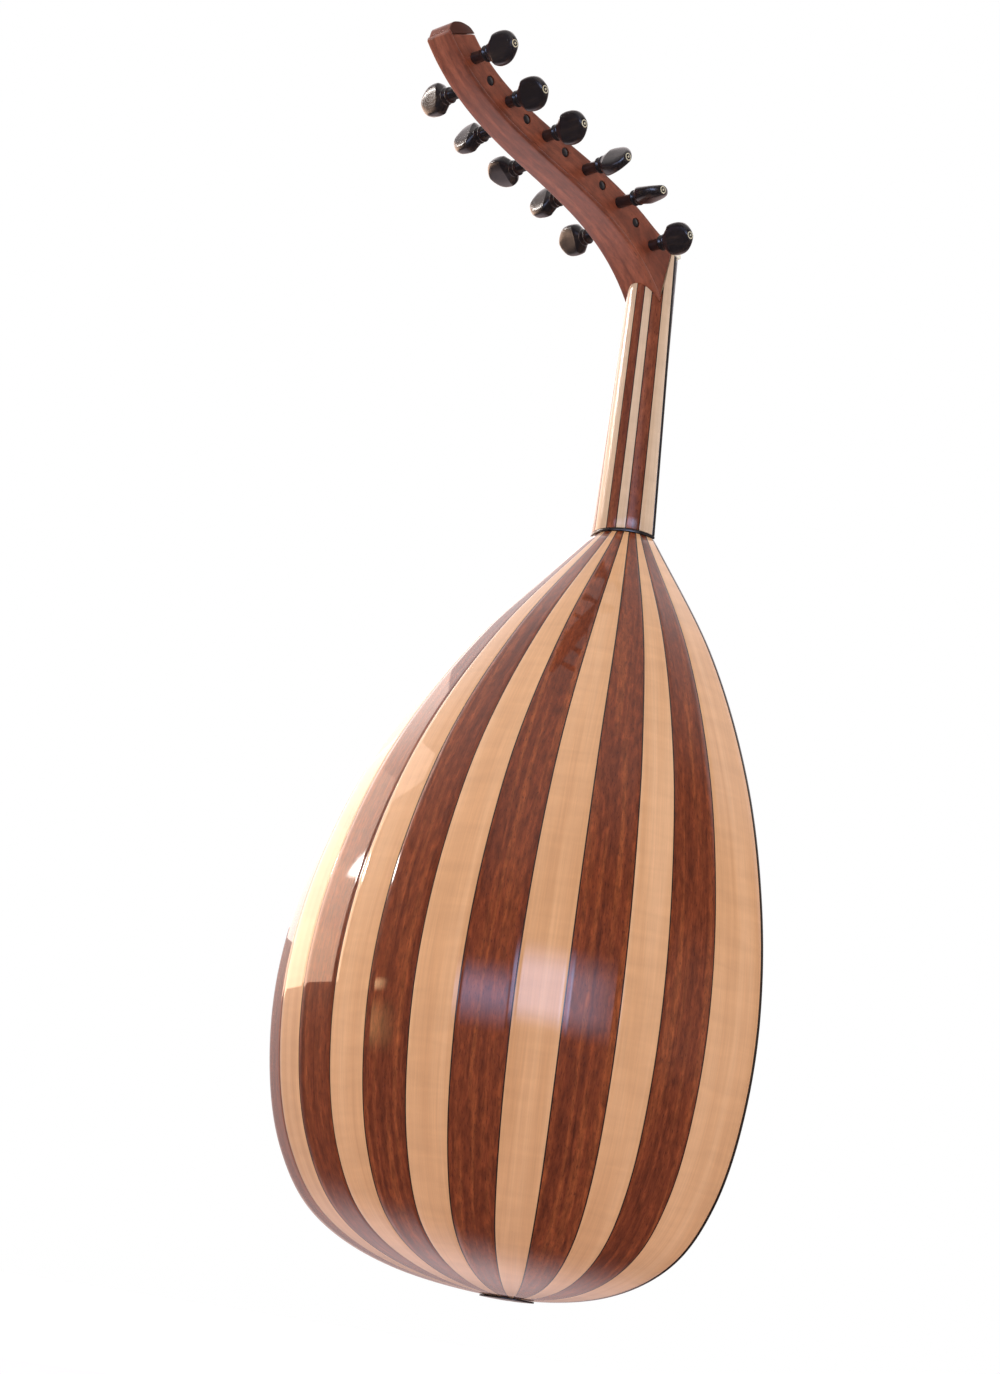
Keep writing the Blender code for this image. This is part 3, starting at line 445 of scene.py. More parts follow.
@dataclass(frozen=True)
class Wood:
    """A wood and its finish."""

    name: str
    dark: Colour
    middle: Colour
    light: Colour
    pore: Colour
    way: GrainWay = GrainWay.ON_SURFACE
    band: tuple[float, float] = (5.0, 110.0)
    fibre: tuple[float, float] = (26.0, 1500.0)
    fibre_depth: float = 0.25
    pores: tuple[float, float] = (330.0, 4200.0)
    pore_start: float = 0.64
    pore_depth: float = 0.7
    figure: tuple[float, float] = (90.0, 14.0)
    figure_depth: float = 0.10
    roughness: float = 0.42
    coat: float = 1.0
    coat_roughness: float = 0.03
    relief: float = 0.05
    end_grain: bool = False

    def make(self) -> bpy.types.Material:
        """Build the material's nodes."""
        board = NodeBoard(self.name, Coat_Weight=self.coat, Coat_Roughness=self.coat_roughness,
                          Coat_IOR=1.5, Specular_IOR_Level=0.15 if self.coat > 0.5 else 0.5)
        place = board.grain(self.way)

        def layer(size: tuple[float, float], detail: float, warp: float = 0.0) -> bpy.types.NodeSocket:
            return board.noise(place, (size[0], size[1], size[1]), detail, 0.55, warp)

        bands = layer(self.band, 3.0, 0.6)
        fibres = layer(self.fibre, 3.0)
        colour = board.ramp(board.span(bands, 0.3, 0.7), ((0.0, self.dark), (0.5, self.middle),
                                                          (1.0, self.light)))
        shade = board.span(fibres, 0.25, 0.75, 1 - self.fibre_depth, 1 + self.fibre_depth * 0.4)
        tone = board.node("CombineColor", {0: shade, 1: shade, 2: shade}).outputs[0]
        colour = board.mix(1.0, colour, tone, "MULTIPLY")
        ripple = layer(self.figure, 2.0, 0.4)
        lift = board.span(ripple, 0.3, 0.7, 1 - self.figure_depth, 1 + self.figure_depth)
        tone = board.node("CombineColor", {0: lift, 1: lift, 2: lift}).outputs[0]
        colour = board.mix(1.0, colour, tone, "MULTIPLY")
        holes = board.span(layer(self.pores, 1.0), self.pore_start, self.pore_start + 0.07)
        colour = board.mix(board.sum(holes, self.pore_depth, "MULTIPLY"), colour, self.pore)
        if self.end_grain:
            colour = board.mix(self.end_share(board), colour, tuple(c * 0.42 for c in self.dark))
        board.feed(board.shader.inputs["Base Color"], colour)
        board.feed(board.shader.inputs["Roughness"],
                   board.span(fibres, 0.2, 0.8, self.roughness - 0.07, self.roughness + 0.07))
        board.bump(board.sum(fibres, holes, "SUBTRACT"), self.relief, 0.15 * MM)
        if self.coat > 0.5:
            wave = board.noise(place, (26.0, 26.0, 26.0), 2.0)
            board.bump(wave, 0.06, 1.0 * MM, "Coat Normal")
        return board.material

    @staticmethod
    def end_share(board: NodeBoard) -> bpy.types.NodeSocket:
        """1 on the block's side faces, where the cut ends of the fibres show dark."""
        place = board.node("SeparateXYZ", {0: board.node("TexCoord").outputs["Object"]})
        out = board.node("Math", {0: place.outputs[0]}, operation="ABSOLUTE").outputs[0]
        return board.span(out, 8.6 * MM, 9.1 * MM)


@dataclass(frozen=True)
class Ebony:
    """Nearly black wood, oiled or polished."""

    name: str
    way: GrainWay = GrainWay.UP
    tint: Colour = (0.012, 0.009, 0.010)
    streak: Colour = (0.034, 0.020, 0.017)
    roughness: float = 0.34
    coat: float = 0.2
    coat_roughness: float = 0.25
    relief: float = 0.08
    patchy: float = 0.07

    def make(self) -> bpy.types.Material:
        """Build the material's nodes."""
        board = NodeBoard(self.name, Coat_Weight=self.coat, Coat_Roughness=self.coat_roughness)
        place = board.grain(self.way)
        streaks = board.noise(place, (22.0, 420.0, 420.0), 3.0)
        pores = board.noise(place, (380.0, 5200.0, 5200.0), 1.0)
        colour = board.mix(board.span(streaks, 0.5, 0.75), self.tint, self.streak)
        holes = board.span(pores, 0.62, 0.7)
        colour = board.mix(board.sum(holes, 0.6, "MULTIPLY"), colour, (0.006, 0.005, 0.005))
        board.feed(board.shader.inputs["Base Color"], colour)
        board.feed(board.shader.inputs["Roughness"],
                   board.span(streaks, 0.3, 0.7, self.roughness - self.patchy, self.roughness + self.patchy))
        board.bump(board.sum(streaks, holes, "SUBTRACT"), self.relief, 0.15 * MM)
        return board.material


@dataclass(frozen=True)
class Spruce:
    """The soundboard's spruce, with its rings standing on edge."""

    name: str = "soundboard_spruce"
    rings: float = 780.0

    def make(self) -> bpy.types.Material:
        """Build the material's nodes."""
        board = NodeBoard(self.name, Coat_Weight=0.25, Coat_Roughness=0.3)
        place = board.node("TexCoord").outputs["Object"]
        parts = board.node("SeparateXYZ", {0: place})
        drift = board.noise(place, (16.0, 2.0, 1.6), 2.0)
        across = board.sum(parts.outputs[0], board.sum(drift, 0.006, "MULTIPLY"))
        wave = board.node("Math", {0: board.sum(across, self.rings * 6.28, "MULTIPLY")},
                          operation="SINE").outputs[0]
        late = board.span(wave, 0.1, 1.0)
        broad = board.noise(place, (34.0, 2.0, 1.2), 3.0)
        ground = board.mix(board.span(broad, 0.3, 0.7), (0.66, 0.42, 0.19), (0.74, 0.52, 0.27))
        colour = board.mix(board.sum(late, 0.55, "MULTIPLY"), ground, (0.47, 0.25, 0.10))
        rays = board.noise(place, (700.0, 40.0, 260.0), 2.0)
        colour = board.mix(board.sum(board.span(rays, 0.6, 0.75), 0.3, "MULTIPLY"), colour,
                           (0.80, 0.60, 0.36))
        board.feed(board.shader.inputs["Base Color"], colour)
        board.feed(board.shader.inputs["Roughness"], board.span(rays, 0.3, 0.7, 0.38, 0.5))
        board.bump(late, 0.1, 0.1 * MM)
        return board.material


@dataclass(frozen=True)
class Bone:
    """Polished bone."""

    name: str = "bone"
    tint: Colour = (0.78, 0.72, 0.58)
    line: Colour = (0.60, 0.50, 0.34)
    pale: Colour = (0.86, 0.82, 0.72)

    def make(self) -> bpy.types.Material:
        """Build the material's nodes."""
        board = NodeBoard(self.name, Subsurface_Weight=0.15, Subsurface_Radius=(0.002, 0.0012, 0.0006))
        place = board.node("TexCoord").outputs["Object"]
        lines = board.noise(place, (700.0, 160.0, 700.0), 3.0)
        cloud = board.noise(place, (90.0, 90.0, 90.0), 2.0)
        colour = board.mix(board.span(lines, 0.55, 0.75), self.tint, self.line)
        colour = board.mix(board.span(cloud, 0.4, 0.8), colour, self.pale)
        board.feed(board.shader.inputs["Base Color"], colour)
        board.feed(board.shader.inputs["Roughness"], board.span(lines, 0.3, 0.8, 0.26, 0.45))
        board.bump(lines, 0.06, 0.1 * MM)
        return board.material


@dataclass(frozen=True)
class StringStuff:
    """Nylon or a wire winding."""

    name: str
    tint: Colour
    metallic: float
    roughness: float
    turns: float

    def make(self) -> bpy.types.Material:
        """Build the material's nodes."""
        board = NodeBoard(self.name, Metallic=self.metallic, Specular_IOR_Level=0.5)
        place = board.node("TexCoord").outputs["Object"]
        parts = board.node("SeparateXYZ", {0: place})
        angle = board.sum(parts.outputs[2], self.turns * 6.28, "MULTIPLY")
        wire = board.node("Math", {0: angle}, operation="SINE").outputs[0]
        cloud = board.noise(place, (160.0, 160.0, 60.0), 2.0)
        colour = board.mix(board.span(cloud, 0.3, 0.7), self.tint, tuple(c * 0.8 for c in self.tint))
        board.feed(board.shader.inputs["Base Color"], colour)
        board.feed(board.shader.inputs["Roughness"],
                   board.span(cloud, 0.3, 0.7, self.roughness - 0.05, self.roughness + 0.08))
        board.bump(board.span(wire, -1.0, 1.0), 0.35, 0.08 * MM)
        return board.material


@dataclass(frozen=True)
class StudioPaper:
    """The pale ground under the lute."""

    name: str = "studio_paper"

    def make(self) -> bpy.types.Material:
        """Build the material's nodes."""
        board = NodeBoard(self.name, Roughness=0.75, Specular_IOR_Level=0.3)
        place = board.node("TexCoord").outputs["Object"]
        cloud = board.noise(place, (1.5, 1.5, 1.5), 2.0)
        colour = board.mix(cloud, (0.93, 0.89, 0.94), (0.90, 0.865, 0.92))
        board.feed(board.shader.inputs["Base Color"], colour)
        away = board.node("VectorMath", {0: place}, operation="LENGTH").outputs["Value"]
        board.shader.inputs["Emission Color"].default_value = (1.0, 1.0, 1.0, 1.0)
        board.feed(board.shader.inputs["Emission Strength"], board.span(away, 1.2, 3.2))
        return board.material


class Finishes:
    """All finishes of the lute, made once."""

    def __init__(self) -> None:
        """Build every material."""
        maple = Wood("lacquered_maple", (0.62, 0.315, 0.150), (0.70, 0.375, 0.190), (0.76, 0.430, 0.235),
                     (0.42, 0.19, 0.085), band=(2.5, 60.0), fibre=(20.0, 900.0), fibre_depth=0.10,
                     pores=(260.0, 3000.0), pore_start=0.70, pore_depth=0.35, figure=(110.0, 22.0),
                     figure_depth=0.05)
        mahogany = Wood("lacquered_mahogany", (0.140, 0.026, 0.008), (0.215, 0.042, 0.012),
                        (0.32, 0.075, 0.020), (0.045, 0.009, 0.005), band=(6.0, 170.0),
                        fibre=(110.0, 640.0), fibre_depth=0.44, pores=(300.0, 1900.0), pore_start=0.60,
                        pore_depth=0.6, figure=(100.0, 230.0), figure_depth=0.24)
        self.maple = maple.make()
        self.mahogany = mahogany.make()
        self.neck_maple = replace(maple, name="neck_maple", dark=(0.54, 0.355, 0.23),
                                  middle=(0.61, 0.43, 0.295), light=(0.67, 0.49, 0.355),
                                  band=(3.0, 110.0), coat_roughness=0.16).make()
        self.neck_mahogany = replace(mahogany, name="neck_mahogany", dark=(0.140, 0.030, 0.012),
                                     middle=(0.205, 0.050, 0.021), light=(0.29, 0.084, 0.035),
                                     fibre_depth=0.3, coat_roughness=0.16).make()
        satin = replace(mahogany, name="pegbox_mahogany", dark=(0.155, 0.034, 0.014),
                        middle=(0.21, 0.049, 0.022), light=(0.28, 0.074, 0.034),
                        pore=(0.07, 0.017, 0.009), pore_depth=0.55, roughness=0.46, coat=1.0,
                        coat_roughness=0.33, relief=0.12, band=(6.0, 130.0), fibre_depth=0.18)
        self.pegbox = satin.make()
        self.pegbox_end = replace(satin, name="pegbox_mahogany_end", end_grain=True).make()
        self.pegbox_solid = replace(satin, name="pegbox_mahogany_inside", way=GrainWay.UP).make()
        self.linden = replace(maple, name="inner_linden", way=GrainWay.UP, dark=(0.50, 0.36, 0.21),
                              middle=(0.60, 0.45, 0.28), light=(0.68, 0.53, 0.35), coat=0.0,
                              roughness=0.7, relief=0.2).make()
        self.rosette = replace(maple, name="rosette_wood", way=GrainWay.ACROSS, dark=(0.20, 0.10, 0.05),
                               middle=(0.27, 0.14, 0.07), light=(0.34, 0.19, 0.10), coat=0.1,
                               coat_roughness=0.4, roughness=0.5).make()
        self.purfling = replace(mahogany, name="dark_binding", dark=(0.018, 0.010, 0.008),
                                middle=(0.024, 0.014, 0.011), light=(0.034, 0.019, 0.014),
                                pore=(0.008, 0.005, 0.004), fibre_depth=0.2).make()
        self.ebony = Ebony("ebony_polished", coat=0.5, roughness=0.3).make()
        self.peg_ebony = Ebony("ebony_oiled", way=GrainWay.ACROSS, tint=(0.011, 0.008, 0.010),
                               streak=(0.030, 0.017, 0.014), roughness=0.33, coat=0.6,
                               coat_roughness=0.2, relief=0.01, patchy=0.02).make()
        self.spruce = Spruce().make()
        self.bone = Bone().make()
        self.peg_ring = Bone("bone_aged", (0.50, 0.44, 0.30), (0.36, 0.30, 0.19),
                             (0.58, 0.54, 0.42)).make()
        self.nylon = StringStuff("string_nylon", (0.70, 0.66, 0.56), 0.0, 0.3, 90.0).make()
        self.wound = StringStuff("string_wound", (0.62, 0.58, 0.52), 0.9, 0.32, 2600.0).make()
        self.paper = StudioPaper().make()


def through_stations(stations: Sequence[float], turn: np.ndarray) -> np.ndarray:
    """A smooth curve through equally spaced stations, odd about its first one.

    Args:
        stations: the values.
        turn: places from 0 to 1.

    Returns:
        The curve's values.
    """
    last = len(stations) - 1
    row = np.array([-stations[1], *stations, 2 * stations[-1] - stations[-2]])
    place = np.clip(turn, 0.0, 1.0) * last
    i = np.minimum(place.astype(int), last - 1)
    u = place - i
    before, here, there, after = row[i], row[i + 1], row[i + 2], row[i + 3]
    return (here * (2 * u ** 3 - 3 * u ** 2 + 1) + there * (3 * u ** 2 - 2 * u ** 3)
            + (there - before) / 2 * (u ** 3 - 2 * u ** 2 + u) + (after - here) / 2 * (u ** 3 - u ** 2))


def unit(vectors: np.ndarray) -> np.ndarray:
    """Vectors brought to length one."""
    return vectors / np.linalg.norm(vectors, axis=-1, keepdims=True)


@dataclass(frozen=True)
class Mould:
    """The form that the ribs are bent over."""

    length: float = 490 * MM
    width: float = 327 * MM
    depth: float = 170 * MM
    neck_width: float = 47.3 * MM
    neck_depth: float = 22.1 * MM
    plan: tuple[float, ...] = (0.0, 0.435, 0.733, 0.897, 0.979, 0.9965, 0.9357, 0.790, 0.533)
    profile: tuple[float, ...] = (0.0, 0.407, 0.702, 0.870, 0.966, 1.0, 0.948, 0.799, 0.525)
    fullness: float = 2.3
    neck_fullness: float = 2.0
    fullness_change: float = 0.75
    rib_widths: tuple[float, ...] = (39.0, 31.0, 24.0, 30.0, 27.0, 31.0, 28.5, 33.0)
    middle_rib: float = 29.5
    tail_hole: float = 7 * MM

    def half_width(self, turn: np.ndarray) -> np.ndarray:
        """Half the bowl's width at turns from the tail."""
        return through_stations([s * self.width / 2 for s in self.plan] + [self.neck_width / 2], turn)

    def surface(self, turn: np.ndarray, angle: np.ndarray) -> np.ndarray:
        """Points of the outer form.

        Args:
            turn: 0 at the tail, 1 at the neck joint.
            angle: 0 at the left rim, pi at the right rim.

        Returns:
            The points, one in each row.
        """
        turn, angle = np.broadcast_arrays(np.asarray(turn, float), np.asarray(angle, float))
        depth = through_stations([s * self.depth for s in self.profile] + [self.neck_depth], turn)
        ease = np.maximum(0.0, (turn - self.fullness_change) / (1 - self.fullness_change))
        power = self.fullness + (self.neck_fullness - self.fullness) * ease
        c = np.cos(angle)
        s = np.sin(angle)
        reach = (np.abs(c) ** power + np.abs(s) ** power) ** (-1 / power)
        height = self.length * (1 - np.cos(turn * math.pi / 2))
        return np.stack([-self.half_width(turn) * c * reach, depth * s * reach, height], -1)

    def outward(self, turn: np.ndarray, angle: np.ndarray) -> np.ndarray:
        """Directions straight out of the form; at the rims they stay in the board's plane."""
        small = 1e-4
        turn, angle = np.broadcast_arrays(np.asarray(turn, float), np.asarray(angle, float))
        low = np.maximum(turn, 2 * small)
        inner = np.clip(angle, small, math.pi - small)
        along = self.surface(np.minimum(low + small, 1.0), angle) - self.surface(low - small, angle)
        across = self.surface(low, inner + small) - self.surface(low, inner - small)
        normal = unit(np.cross(across, along))
        rim = (angle < small) | (angle > math.pi - small)
        normal[rim, 1] = 0.0
        normal = unit(normal)
        centre = np.array([0.0, 0.0, self.length / 2])
        wrong = ((self.surface(low, angle) - centre) * normal).sum(-1) < 0
        normal[wrong] *= -1
        return normal

    def inset(self, turn: np.ndarray, angle: np.ndarray, depth: float) -> np.ndarray:
        """Points at a depth under the form."""
        return self.surface(turn, angle) - self.outward(turn, angle) * depth

    def seams(self) -> list[float]:
        """Angles of the rib edges, from the left rim to the right one."""
        widths = [*self.rib_widths, self.middle_rib, *reversed(self.rib_widths)]
        ends = np.cumsum([0.0, *widths]) / sum(widths) * math.pi
        return [float(a) for a in ends]

    def turn_at_width(self, width: float) -> float:
        """The turn near the tail where the form is this wide to one side."""
        turns = np.linspace(0.0, 0.4, 4001)
        return float(np.interp(width, self.half_width(turns), turns))

    def turn_at_height(self, height: float) -> float:
        """The turn at a distance from the tail."""
        return math.acos(1 - height / self.length) * 2 / math.pi

    def rows(self, share: np.ndarray) -> np.ndarray:
        """Turns along the ribs by share, closer together towards the tail."""
        start = self.turn_at_width(self.tail_hole)
        return start + (1 - start) * share ** 1.2


@dataclass
class Bowl:
    """The ribbed back with its seam lines, tail cap and inner blocks."""

    finishes: Finishes
    mould: Mould = field(default_factory=Mould)
    rib_thickness: float = 2.6 * MM
    crown: float = 0.22
    seam_width: float = 0.75 * MM
    seam_depth: float = 0.8 * MM
    rows: int = 110
    columns: int = 8
    cap_thickness: float = 1.0 * MM

    def build(self) -> None:
        """Make all pieces of the bowl."""
        seams = self.mould.seams()
        for number in range(1, len(seams)):
            self.rib(number, seams)
        for number in range(1, len(seams) - 1):
            self.seam(number, seams)
        self.end_cap()
        for node in ("tail_block", "neck_block"):
            dress(node, self.finishes.linden)

    def edges(self, number: int, seams: list[float], turn: np.ndarray) -> tuple[np.ndarray, np.ndarray]:
        """The two long edges of a rib's outer face.

        Args:
            number: the rib, counted from 1.
            seams: angles of the rib edges.
            turn: places along the rib.

        Returns:
            Points of the first and of the second edge.
        """
        a = self.mould.surface(turn, seams[number - 1])
        b = self.mould.surface(turn, seams[number])
        across = unit(b - a) * self.seam_width / 2
        first = a + (across if number > 1 else 0)
        second = b - (across if number < len(seams) - 1 else 0)
        return first, second

    def rib(self, number: int, seams: list[float]) -> None:
        """One bent rib, slightly crowned across."""
        mould = self.mould
        low, high = seams[number - 1], seams[number]
        reach = mould.surface(np.linspace(0, 1, 400), (low + high) / 2)
        runs = np.concatenate([[0], np.cumsum(np.linalg.norm(np.diff(reach, axis=0), axis=1))])

        def place(u: np.ndarray, v: np.ndarray) -> np.ndarray:
            turn = mould.rows(v)
            first, second = self.edges(number, seams, turn)
            flat = first + (second - first) * u[:, None]
            a = mould.surface(turn, low)
            b = mould.surface(turn, high)
            arc = mould.surface(turn, low + (high - low) * u) - (a + (b - a) * u[:, None])
            return flat + arc * self.crown

        def grain(u: np.ndarray, v: np.ndarray) -> np.ndarray:
            turn = mould.rows(v)
            first, second = self.edges(number, seams, turn)
            width = np.linalg.norm(second - first, axis=1)
            along = np.interp(turn, np.linspace(0, 1, 400), runs)
            return np.stack([along + number * 1.37, (u - 0.5) * width + number * 0.211], 1)

        name = "rib_plate_%02d" % number
        piece = Bench.sheet(name, self.columns, self.rows, place, grain, away=(0, 0, 0.22))
        Bench.modify(piece, "SOLIDIFY", thickness=self.rib_thickness, offset=-1)
        Bench.ease_edges(piece, 0.22 * MM)
        light = number % 2 == 1
        material = self.finishes.maple if light else self.finishes.mahogany
        Bench.hand_over(piece, material, stands_for=["rib_%02d" % number],
                        slot="lacquered_maple" if light else "lacquered_mahogany")

    def seam(self, number: int, seams: list[float]) -> None:
        """The dark line between a rib and the next one."""

        def place(u: np.ndarray, v: np.ndarray) -> np.ndarray:
            turn = self.mould.rows(v)
            left = self.edges(number, seams, turn)[1]
            right = self.edges(number + 1, seams, turn)[0]
            centre = self.mould.surface(turn, seams[number])
            points = np.where(u[:, None] < 0.25, left, np.where(u[:, None] > 0.75, right, centre))
            return points - self.mould.outward(turn, seams[number]) * 0.02 * MM

        piece = Bench.sheet("seam_line_%02d" % number, 2, self.rows, place, away=(0, 0, 0.22))
        Bench.modify(piece, "SOLIDIFY", thickness=self.seam_depth, offset=-1)
        Bench.hand_over(piece, self.finishes.purfling, slot="binding")

    def end_cap(self) -> None:
        """The thin cap over the rib ends at the tail."""
        mould = self.mould
        first = float(mould.rows(np.array(0.0)))
        last = float(mould.rows(np.array(1 / 28)))

        def place(u: np.ndarray, v: np.ndarray) -> np.ndarray:
            turn = first * 0.4 + (last - first * 0.4) * v
            points = mould.inset(turn, math.pi * u, -GAP - self.cap_thickness)
            points[:, 1] = np.maximum(points[:, 1], 0.0)
            return points

        piece = Bench.sheet("tail_cap", 40, 8, place, away=(0, 0, 0.22))
        Bench.modify(piece, "SOLIDIFY", thickness=self.cap_thickness, offset=-1)
        Bench.ease_edges(piece, 0.3 * MM)
        Bench.hand_over(piece, self.finishes.ebony, stands_for=["end_cap"], slot="ebony")


def dress(node: str, material: bpy.types.Material) -> None:
    """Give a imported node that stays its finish."""
    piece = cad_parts[node]
    piece.data.materials.clear()
    piece.data.materials.append(material)
    LOG.info("%s: packed node with %s", node, material.name)


@dataclass
class PegboxLine:
    """The pegbox's floor line and the measures taken from it."""

    start: tuple[float, float] = (15.7 * MM, 658.15 * MM)
    end: tuple[float, float] = (231.1 * MM, 745.9 * MM)
    start_angle: float = 47.65
    end_angle: float = 44.4
    start_pull: float = 87 * MM
    end_pull: float = 82.4 * MM
    joint_top: tuple[float, float] = (11.2 * MM, 696.9 * MM)
    width: float = 25.56 * MM
    taper: float = 0.015
    floor_flare: tuple[float, float] = (1.9 * MM, 80 * MM)
    wall_flare: tuple[float, float] = (0.5 * MM, 117 * MM)
    wall_heights: tuple[float, float, float] = (30.0 * MM, 20.3 * MM, 19.7 * MM)
    wall_rise: float = 20 * MM
    wall_ends: tuple[float, float] = (-1.4 * MM, -9.7 * MM)

    def __post_init__(self) -> None:
        """Lay out the line once."""
        u = np.linspace(0, 1, 801)[:, None]
        a = math.radians(self.start_angle)
        b = math.radians(self.end_angle)
        p0 = np.array(self.start)
        p3 = np.array(self.end)
        p1 = p0 + np.array([math.cos(a), math.sin(a)]) * self.start_pull
        p2 = p3 - np.array([math.cos(b), math.sin(b)]) * self.end_pull
        v = 1 - u
        self.points = v ** 3 * p0 + 3 * v * v * u * p1 + 3 * v * u * u * p2 + u ** 3 * p3
        self.ways = unit(v * v * (p1 - p0) + 2 * v * u * (p2 - p1) + u * u * (p3 - p2))
        self.runs = np.concatenate([[0], np.cumsum(np.linalg.norm(np.diff(self.points, axis=0), axis=1))])
        self.length = float(self.runs[-1])
        self.joint_place = self.place_of(np.array([self.joint_top]))[0]

    def at(self, run: np.ndarray, height: np.ndarray) -> np.ndarray:
        """Places in y and z at runs along the floor and heights over it."""
        run = np.asarray(run, float)
        inside = np.clip(run, 0, self.length)
        point = np.stack([np.interp(inside, self.runs, self.points[:, k]) for k in (0, 1)], -1)
        way = unit(np.stack([np.interp(inside, self.runs, self.ways[:, k]) for k in (0, 1)], -1))
        up = np.stack([-way[..., 1], way[..., 0]], -1)
        return point + way * (run - inside)[..., None] + up * np.asarray(height, float)[..., None]

    def place_of(self, yz: np.ndarray) -> np.ndarray:
        """Runs and heights of places in y and z, one in each row."""
        away = yz[:, None, :] - self.points[None]
        along = (away * self.ways[None]).sum(-1)
        best = np.abs(along).argmin(1)
        rows = np.arange(len(yz))
        way = self.ways[best]
        up = np.stack([-way[:, 1], way[:, 0]], -1)
        return np.stack([self.runs[best] + along[rows, best], (away[rows, best] * up).sum(-1)], -1)

    def on_joint(self, height: float) -> np.ndarray:
        """A place in y and z on the slanted joint with the neck."""
        corner = np.array(self.start)
        along = unit(np.array(self.joint_top) - corner)
        up = np.array([-self.ways[0][1], self.ways[0][0]])
        return corner + along * (height / along.dot(up))

    def floor_half(self, y: np.ndarray) -> np.ndarray:
        """Half the pegbox's outer width at its floor."""
        near = np.maximum(0.0, 1 - np.asarray(y) / self.floor_flare[1])
        return self.width / 2 - self.taper * np.asarray(y) + self.floor_flare[0] * near ** 2

    def half_width(self, yz: np.ndarray) -> np.ndarray:
        """Half the pegbox's outer width at places in y and z."""
        run, height = self.place_of(yz).T
        near = np.maximum(0.0, 1 - np.maximum(run, 0.0) / self.wall_flare[1])
        lean = self.wall_flare[0] * near ** 2 * height / self.wall_heights[0]
        return self.floor_half(yz[:, 0]) + lean

    def wall_height(self, run: np.ndarray) -> np.ndarray:
        """The walls' height over the floor; close to the nut they rise to meet it."""

        def curve(at: np.ndarray) -> np.ndarray:
            u = at / self.length
            first, middle, last = self.wall_heights
            return first * (1 - u) * (1 - 2 * u) + middle * 4 * u * (1 - u) + last * u * (2 * u - 1)

        joint_run, joint_height = self.joint_place
        near = np.maximum(0.0, 1 - (run - joint_run) / self.wall_rise)
        return curve(run) + (joint_height - curve(joint_run)) * near ** 2

    def wall_end(self, height: float) -> float:
        """How far from the floor's end the walls stop, at a height over the floor."""
        low, high = self.wall_ends
        return low + (high - low) * height / self.wall_heights[2]

    @staticmethod
    def peg(index: int) -> np.ndarray:
        """A peg's axis in y and z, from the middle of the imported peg's end."""
        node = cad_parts["peg_%02d" % (index + 1)]
        corners = np.array([tuple(node.matrix_world @ corner.co) for corner in node.data.vertices])
        out = np.abs(corners[:, 0])
        rim = corners[out > out.max() - 0.4 * MM, 1:]
        return (rim.min(axis=0) + rim.max(axis=0)) / 2


def rounded(points: np.ndarray, steps: int = 8) -> np.ndarray:
    """A smooth chain through corner points."""
    ends = np.vstack([2 * points[0] - points[1], points, 2 * points[-1] - points[-2]])
    out = []
    for i in range(1, len(ends) - 2):
        p0, p1, p2, p3 = ends[i - 1:i + 3]
        for k in range(steps):
            t = k / steps
            out.append(0.5 * (2 * p1 + (p2 - p0) * t + (2 * p0 - 5 * p1 + 4 * p2 - p3) * t * t
                              + (3 * p1 - p0 - 3 * p2 + p3) * t ** 3))
    return np.array([*out, points[-1]])


def spaced(points: np.ndarray, shares: np.ndarray) -> np.ndarray:
    """Points on a chain at shares of its length."""
    runs = np.concatenate([[0], np.cumsum(np.linalg.norm(np.diff(points, axis=0), axis=1))])
    return np.stack([np.interp(shares * runs[-1], runs, points[:, k]) for k in range(points.shape[1])], -1)


